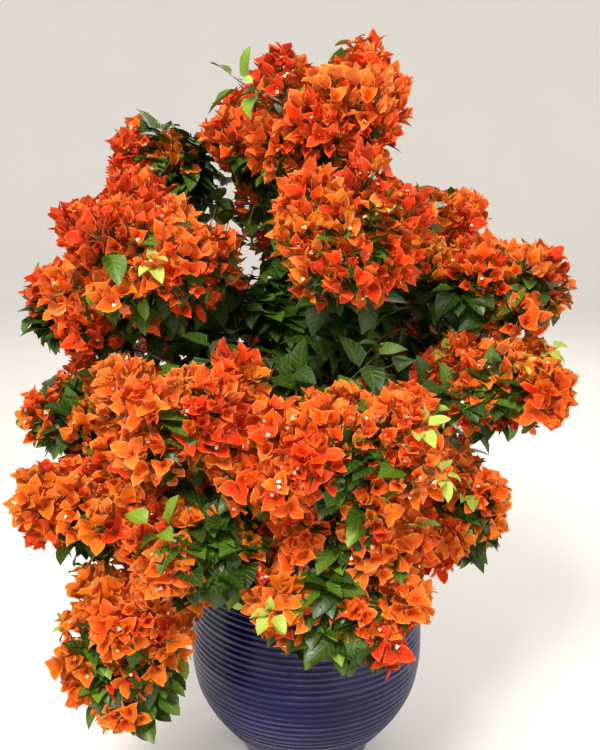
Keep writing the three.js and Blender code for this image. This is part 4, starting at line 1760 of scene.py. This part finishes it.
    def grow_twig(
        self, grown: list[Twig], tip: np.ndarray, outward: np.ndarray, chance: Chance
    ) -> Twig:
        """Grows a twig to a tip from the nearest wood behind it.

        Args:
            grown: The shoot and twigs that it can leave from.
            tip: Where it ends.
            outward: Where its end looks.
            chance: The mass's stream.

        Returns:
            The twig.
        """
        shoot = grown[0]
        found = (0.0, shoot, 0.3, self.shortest_twig)
        least = math.inf
        for parent in grown:
            for share in self.shoot_forks if parent is shoot else self.twig_forks:
                gap = tip - parent.path.at(share)
                length = float(np.linalg.norm(gap))
                if length < self.shortest_twig:
                    continue
                later = 0 if parent is shoot else 0.03
                cost = length * (1.7 - gap.dot(outward) / length) + later
                if cost < least:
                    least = cost
                    found = (cost, parent, share, length)
        _, parent, share, length = found
        middle = tip - outward * length * 0.45 + chance.push(length * 0.1)
        path = Path.arch(parent.path.at(share), middle, tip, 7)
        thick = (parent.foot + (parent.tip - parent.foot) * share) * 0.85
        twig = Twig(path, min(self.twig_foot, thick), self.twig_tip, outward)
        self.twigs.tube(path.points, np.linspace(twig.foot, twig.tip, 7), 4)
        return twig

    def dress_shoot(self, twig: Twig, chance: Chance) -> None:
        """Puts young leaves along a bare new shoot.

        Args:
            twig: The shoot.
            chance: The mass's stream.
        """
        for k in range(6):
            tint = chance.pick(LeafTint, self.shoot_leaf_weights)
            share = 0.4 + 0.6 * (k + chance.share()) / 6
            along = twig.path.way(share)
            self.add_leaf(twig.path.at(share), along, k * GOLDEN_ANGLE, tint, chance, 0.7)

    def dress_twig(self, twig: Twig, blossom: bool, chance: Chance, fullness: float) -> None:
        """Puts leaves along a twig, and blossom or a tuft of leaves at its end.

        Args:
            twig: The twig.
            blossom: Whether its end bears blossom.
            chance: The mass's stream.
            fullness: How full its blossom is, as a share of a whole truss.
        """
        weights = self.spray_leaf_weights if blossom else self.leaf_weights
        if twig.path.at(1.0)[2] < self.low_height:
            weights = self.low_leaf_weights
        count = min(5, max(2, int(twig.path.length / 0.03)))
        last, forward = (0.62, 0.05) if blossom else (0.95, 0.55)
        for k in range(count):
            share = 0.3 + (last - 0.3) * (k + chance.share()) / count
            tint = chance.pick(LeafTint, weights)
            turn = k * GOLDEN_ANGLE + 1.3
            self.add_leaf(twig.path.at(share), twig.path.way(share), turn, tint, chance, forward)
        if blossom:
            self.add_truss(twig, chance, fullness)
            return
        young = chance.share() < 0.04
        for k in range(5):
            tint = LeafTint.YOUNG if young else chance.pick(LeafTint, weights)
            way = unit(twig.axis + point(0, 0, 0.1))
            self.add_leaf(twig.path.at(1.0), way, k * GOLDEN_ANGLE, tint, chance)

    def dress_inner_twig(self, twig: Twig, chance: Chance) -> None:
        """Puts plain dark leaves along a twig inside a mass.

        Args:
            twig: The twig.
            chance: The mass's stream.
        """
        leaf = self.stamps.inner_leaf
        for k in range(6):
            tint = LeafTint.DARK if chance.share() < 0.75 else LeafTint.MIDDLE
            share = 0.3 + 0.7 * (k + chance.share()) / 6
            place, along = twig.path.at(share), twig.path.way(share)
            self.add_leaf(place, along, k * GOLDEN_ANGLE, tint, chance, 0.55, leaf)

    def add_leaf(
        self,
        at: np.ndarray,
        along: np.ndarray,
        turn: float,
        tint: LeafTint,
        chance: Chance,
        forward: float = 0.55,
        stamp: Stamp | None = None,
    ) -> None:
        """Adds a leaf to a twig.

        Args:
            at: Where it leaves the twig.
            along: Where the twig goes there.
            turn: Its turn about the twig.
            tint: Its green.
            chance: The mass's stream.
            forward: How far it points on along the twig.
            stamp: The leaf, or none for one of the fine ones.
        """
        side = standing(along, turn)[:, 0]
        way = unit(side + along * forward + point(0, 0, self.leaf_droop) + chance.push(0.24))
        upward = unit(point(0, 0, 1) + along * 0.35 + chance.push(0.3))
        if abs(way.dot(upward)) > 0.93:
            upward = unit(along + point(0.1, 0.2, 0))
        if not self.space.clear(at + way * 0.06, 0.004):
            return
        size = chance.between(0.72, 1.14) * (self.young_size if tint is LeafTint.YOUNG else 1.0)
        stamp = stamp or self.stamps.leaves[int(chance.share() * 3) % 3]
        self.leaves[tint].stamp(stamp, lying(way, upward) * size, at)

    def truss_tint(self, height: float, chance: Chance) -> BlossomTint:
        """Deals a spray its tint, with painted light and shade: redder high up, painted as if in
        the sun, and more amber low down, painted as if in the shade.

        Args:
            height: How high the spray is.
            chance: The mass's stream.

        Returns:
            The tint.
        """
        # Painted light and shade: the tints' shares shift with height, sunlit red above and shaded
        # amber below
        high = clamp((height - 0.5) / 0.45, 0, 1)
        red = (0.02 + 0.11 * high, 0.04 + 0.24 * high)
        weights = (*red, 0.3 + 0.05 * high, 0.22, 0.42 - 0.36 * high)
        return chance.pick(BlossomTint, weights)

    def add_truss(self, twig: Twig, chance: Chance, fullness: float) -> None:
        """Ends a twig in a long dome of florets with a collar of leaves.

        Args:
            twig: The twig.
            chance: The mass's stream.
            fullness: How full it is, as a share of a whole truss.
        """
        axis = twig.axis
        tip = twig.path.at(1.0)
        dome = self.dome * chance.between(0.72, 1.18) * fullness**0.5
        hub = tip - axis * dome * 0.9
        tint = self.truss_tint(float(tip[2]), chance)
        turn = standing(axis, chance.between(0, FULL_TURN))
        count = round(dome**2 * 4.4 / self.floret_share * chance.between(3.2, 4.2))
        for k in range(count):
            cosine = 1 - (k + 0.4) / count * 1.05
            flat = math.sqrt(max(0.0, 1 - cosine * cosine))
            angle = k * GOLDEN_ANGLE
            spread = point(flat * math.cos(angle), flat * math.sin(angle), cosine)
            way = turn @ spread
            drawn = turn @ (spread * point(0.86, 0.86, 1.28))
            foot = hub + drawn * dome * chance.between(0.82, 1.12)
            if self.space.clear(foot + way * 0.02, 0.012):
                way = unit(way + point(0, 0, 0.45) + chance.push(0.3))
                self.add_floret(hub, foot, way, tint, chance)
        for _ in range(self.inner_florets):
            place = twig.path.at(chance.between(0.5, 0.9))
            way = unit(point(0, 0, 1) + chance.push(0.75) + axis * 0.3)
            foot = place + way * chance.between(0.018, 0.034)
            if self.space.clear(foot + way * 0.02, 0.012):
                self.add_floret(place, foot, way, tint, chance)
        for k in range(2):
            green = chance.pick(LeafTint, self.collar_weights)
            self.add_leaf(hub - axis * 0.02, axis, k * 2.1 + chance.share(), green, chance, -0.1)
        if chance.share() < self.tuft_share:
            self.add_tuft(hub, unit(axis + chance.push(0.8)), dome, chance)

    def add_tuft(self, hub: np.ndarray, way: np.ndarray, dome: float, chance: Chance) -> None:
        """Adds a tuft of pale young leaves that stands a little out of a spray.

        Args:
            hub: The spray's middle.
            way: Where the tuft looks.
            dome: The spray's reach.
            chance: The mass's stream.
        """
        end = hub + way * (dome + 0.022)
        self.green.tube(np.array([hub, end]), np.array([0.0011, 0.0008]), 3)
        for k in range(self.tuft_leaves):
            place = hub + (end - hub) * (0.76 + 0.06 * k)
            self.add_leaf(place, way, k * GOLDEN_ANGLE, LeafTint.YOUNG, chance, 0.8)

    def add_floret(
        self, hub: np.ndarray, foot: np.ndarray, way: np.ndarray, tint: BlossomTint, chance: Chance
    ) -> None:
        """Adds three bracts on a stalk, with small flowers among them.

        Args:
            hub: Where the stalk starts.
            foot: Where it ends and the bracts begin.
            way: Where the bracts open.
            tint: The spray's tint.
            chance: The mass's stream.
        """
        self.green.tube(np.array([hub, foot + way * 0.002]), np.array([0.0009, 0.0011]), 3)
        own = tint
        if chance.share() < 0.3:
            tints = list(BlossomTint)
            own = tints[(tints.index(tint) + (1 if chance.share() < 0.5 else -1)) % len(tints)]
        size = chance.between(0.78, 1.12)
        high = clamp((foot[2] - 0.6) / 0.4, 0, 1)
        upright = chance.share() < 0.1 + 0.55 * high
        way = unit(way + point(0, 0, 0.4 * high))
        turn = standing(way, chance.between(0, FULL_TURN))
        stamps = self.stamps.upright_florets if upright else self.stamps.florets
        stamp = stamps[int(chance.share() * len(stamps)) % len(stamps)]
        self.bracts[own].stamp(stamp, turn * size, foot)
        flowers = 0 if chance.share() < self.flower_share else 1 + int(chance.share() * 2.0)
        for k in range(flowers):
            side = turn[:, 0] * math.cos(k * 2.1) + turn[:, 1] * math.sin(k * 2.1)
            lean = unit(way + side * 0.2)
            place = foot + side * 0.002
            self.tubes.stamp(self.stamps.tube, standing(lean, 0.0), place)
            if chance.share() < self.star_share:
                star = standing(lean, chance.share())
                self.stars.stamp(self.stamps.stars[k % 2], star, place + lean * self.star_height)

    def build(self) -> None:
        """Builds the crown's pieces."""
        masses = [f"mass_{plan.name}" for plan in MASSES]
        piece(self.twigs.mesh(), PlantFinish.WOOD.value, "bark", masses)
        piece(self.green.mesh(), PlantFinish.STALK.value, "leaf", [])
        piece(self.tubes.mesh(), PlantFinish.TUBE.value, "blossom", [])
        piece(self.stars.mesh(), PlantFinish.STAR.value, "blossom", [])
        for heaps, slot in ((self.bracts, "blossom"), (self.leaves, "leaf")):
            for tint, heap in heaps.items():
                piece(heap.mesh(), tint.value, slot, [])


# Studio


@dataclass
class Studio:
    """The pale floor that sweeps up all round, the lights and the camera."""

    flat_radius: float = 5.5
    sweep_radius: float = 9.0
    sweep_height: float = 5.0
    sweep_top: float = 3.0
    sweep_steps: int = 12
    sides: int = 96
    aim: Triple = (0.0, 0.0, 0.8)
    sky: tuple[float, ...] = (0.93, 0.96, 1.0, 1.0)
    sky_strength: float = 0.5
    camera_place: Triple = (-0.0127, -1.71, 1.25)
    camera_tilt: float = 75.6
    lens: float = 43.2
    sensor_width: float = 36.0

    def build(self) -> None:
        """Builds the floor, lights and camera."""
        bm = bmesh.new()
        rise = self.sweep_radius - self.flat_radius
        rows = [(0.0, 0.0), (1.0, 0.0), (3.0, 0.0), (self.flat_radius, 0.0)]
        for step in range(1, self.sweep_steps + 1):
            angle = math.pi / 2 * step / self.sweep_steps
            height = self.sweep_height * (1 - math.cos(angle))
            rows.append((self.flat_radius + rise * math.sin(angle), height))
        rows.append((self.sweep_radius, self.sweep_height + self.sweep_top))
        spin(bm, [bm.verts.new((radius, 0, height)) for radius, height in rows], self.sides)
        floor = linked("studio_floor", finished(bm, "studio_floor"))
        floor.data.materials.append(PALE_FLOOR.material())
        self.light("key", (-0.9, -2.5, 3.7), 1.1, 204.0, (1.0, 0.95, 0.86))
        self.light("fill", (2.4, -2.4, 1.9), 2.6, 30.0, (0.94, 0.97, 1.0))
        self.light("rim", (0.6, 3.0, 3.2), 2.4, 70.0, (1.0, 0.97, 0.92))
        world = bpy.data.worlds.new("soft_sky")
        world.use_nodes = True
        background = world.node_tree.nodes["Background"]
        Network(world.node_tree).feed(background, {0: self.sky, 1: self.sky_strength})
        bpy.context.scene.world = world
        bpy.context.scene.view_settings.view_transform = "Standard"
        self.camera()

    def light(self, name: str, place: Triple, size: float, power: float, colour: Triple) -> None:
        """Hangs a square soft light that looks at the plant.

        Args:
            name: The light's name.
            place: Where it hangs.
            size: Its side.
            power: Its power in watts.
            colour: Its colour.
        """
        data = bpy.data.lights.new(name, "AREA")
        data.size = size
        data.energy = power
        data.color = colour
        lamp = linked(name, data)
        lamp.location = place
        look = Vector(self.aim) - Vector(place)
        lamp.rotation_euler = look.to_track_quat("-Z", "Y").to_euler()

    def camera(self) -> None:
        """Sets the camera at the photograph's angle."""
        data = bpy.data.cameras.new("camera")
        data.lens = self.lens
        data.sensor_width = self.sensor_width
        data.dof.use_dof = False
        camera = linked("camera", data)
        camera.location = self.camera_place
        camera.rotation_euler = (math.radians(self.camera_tilt), 0, 0)
        bpy.context.scene.camera = camera


def main() -> None:
    """Builds the plant and the studio, and notes the sizes."""
    logging.basicConfig(level=logging.INFO, format="%(message)s")
    Finish.effects = SharedEffects()
    pot = GlazedPot()
    pot.build()
    PottingSoil(pot).build()
    space = Space(pot)
    framework = Framework(space)
    framework.build()
    crown = Crown(space, framework)
    crown.grow()
    crown.build()
    Studio().build()


if __name__ == "__main__":
    main()
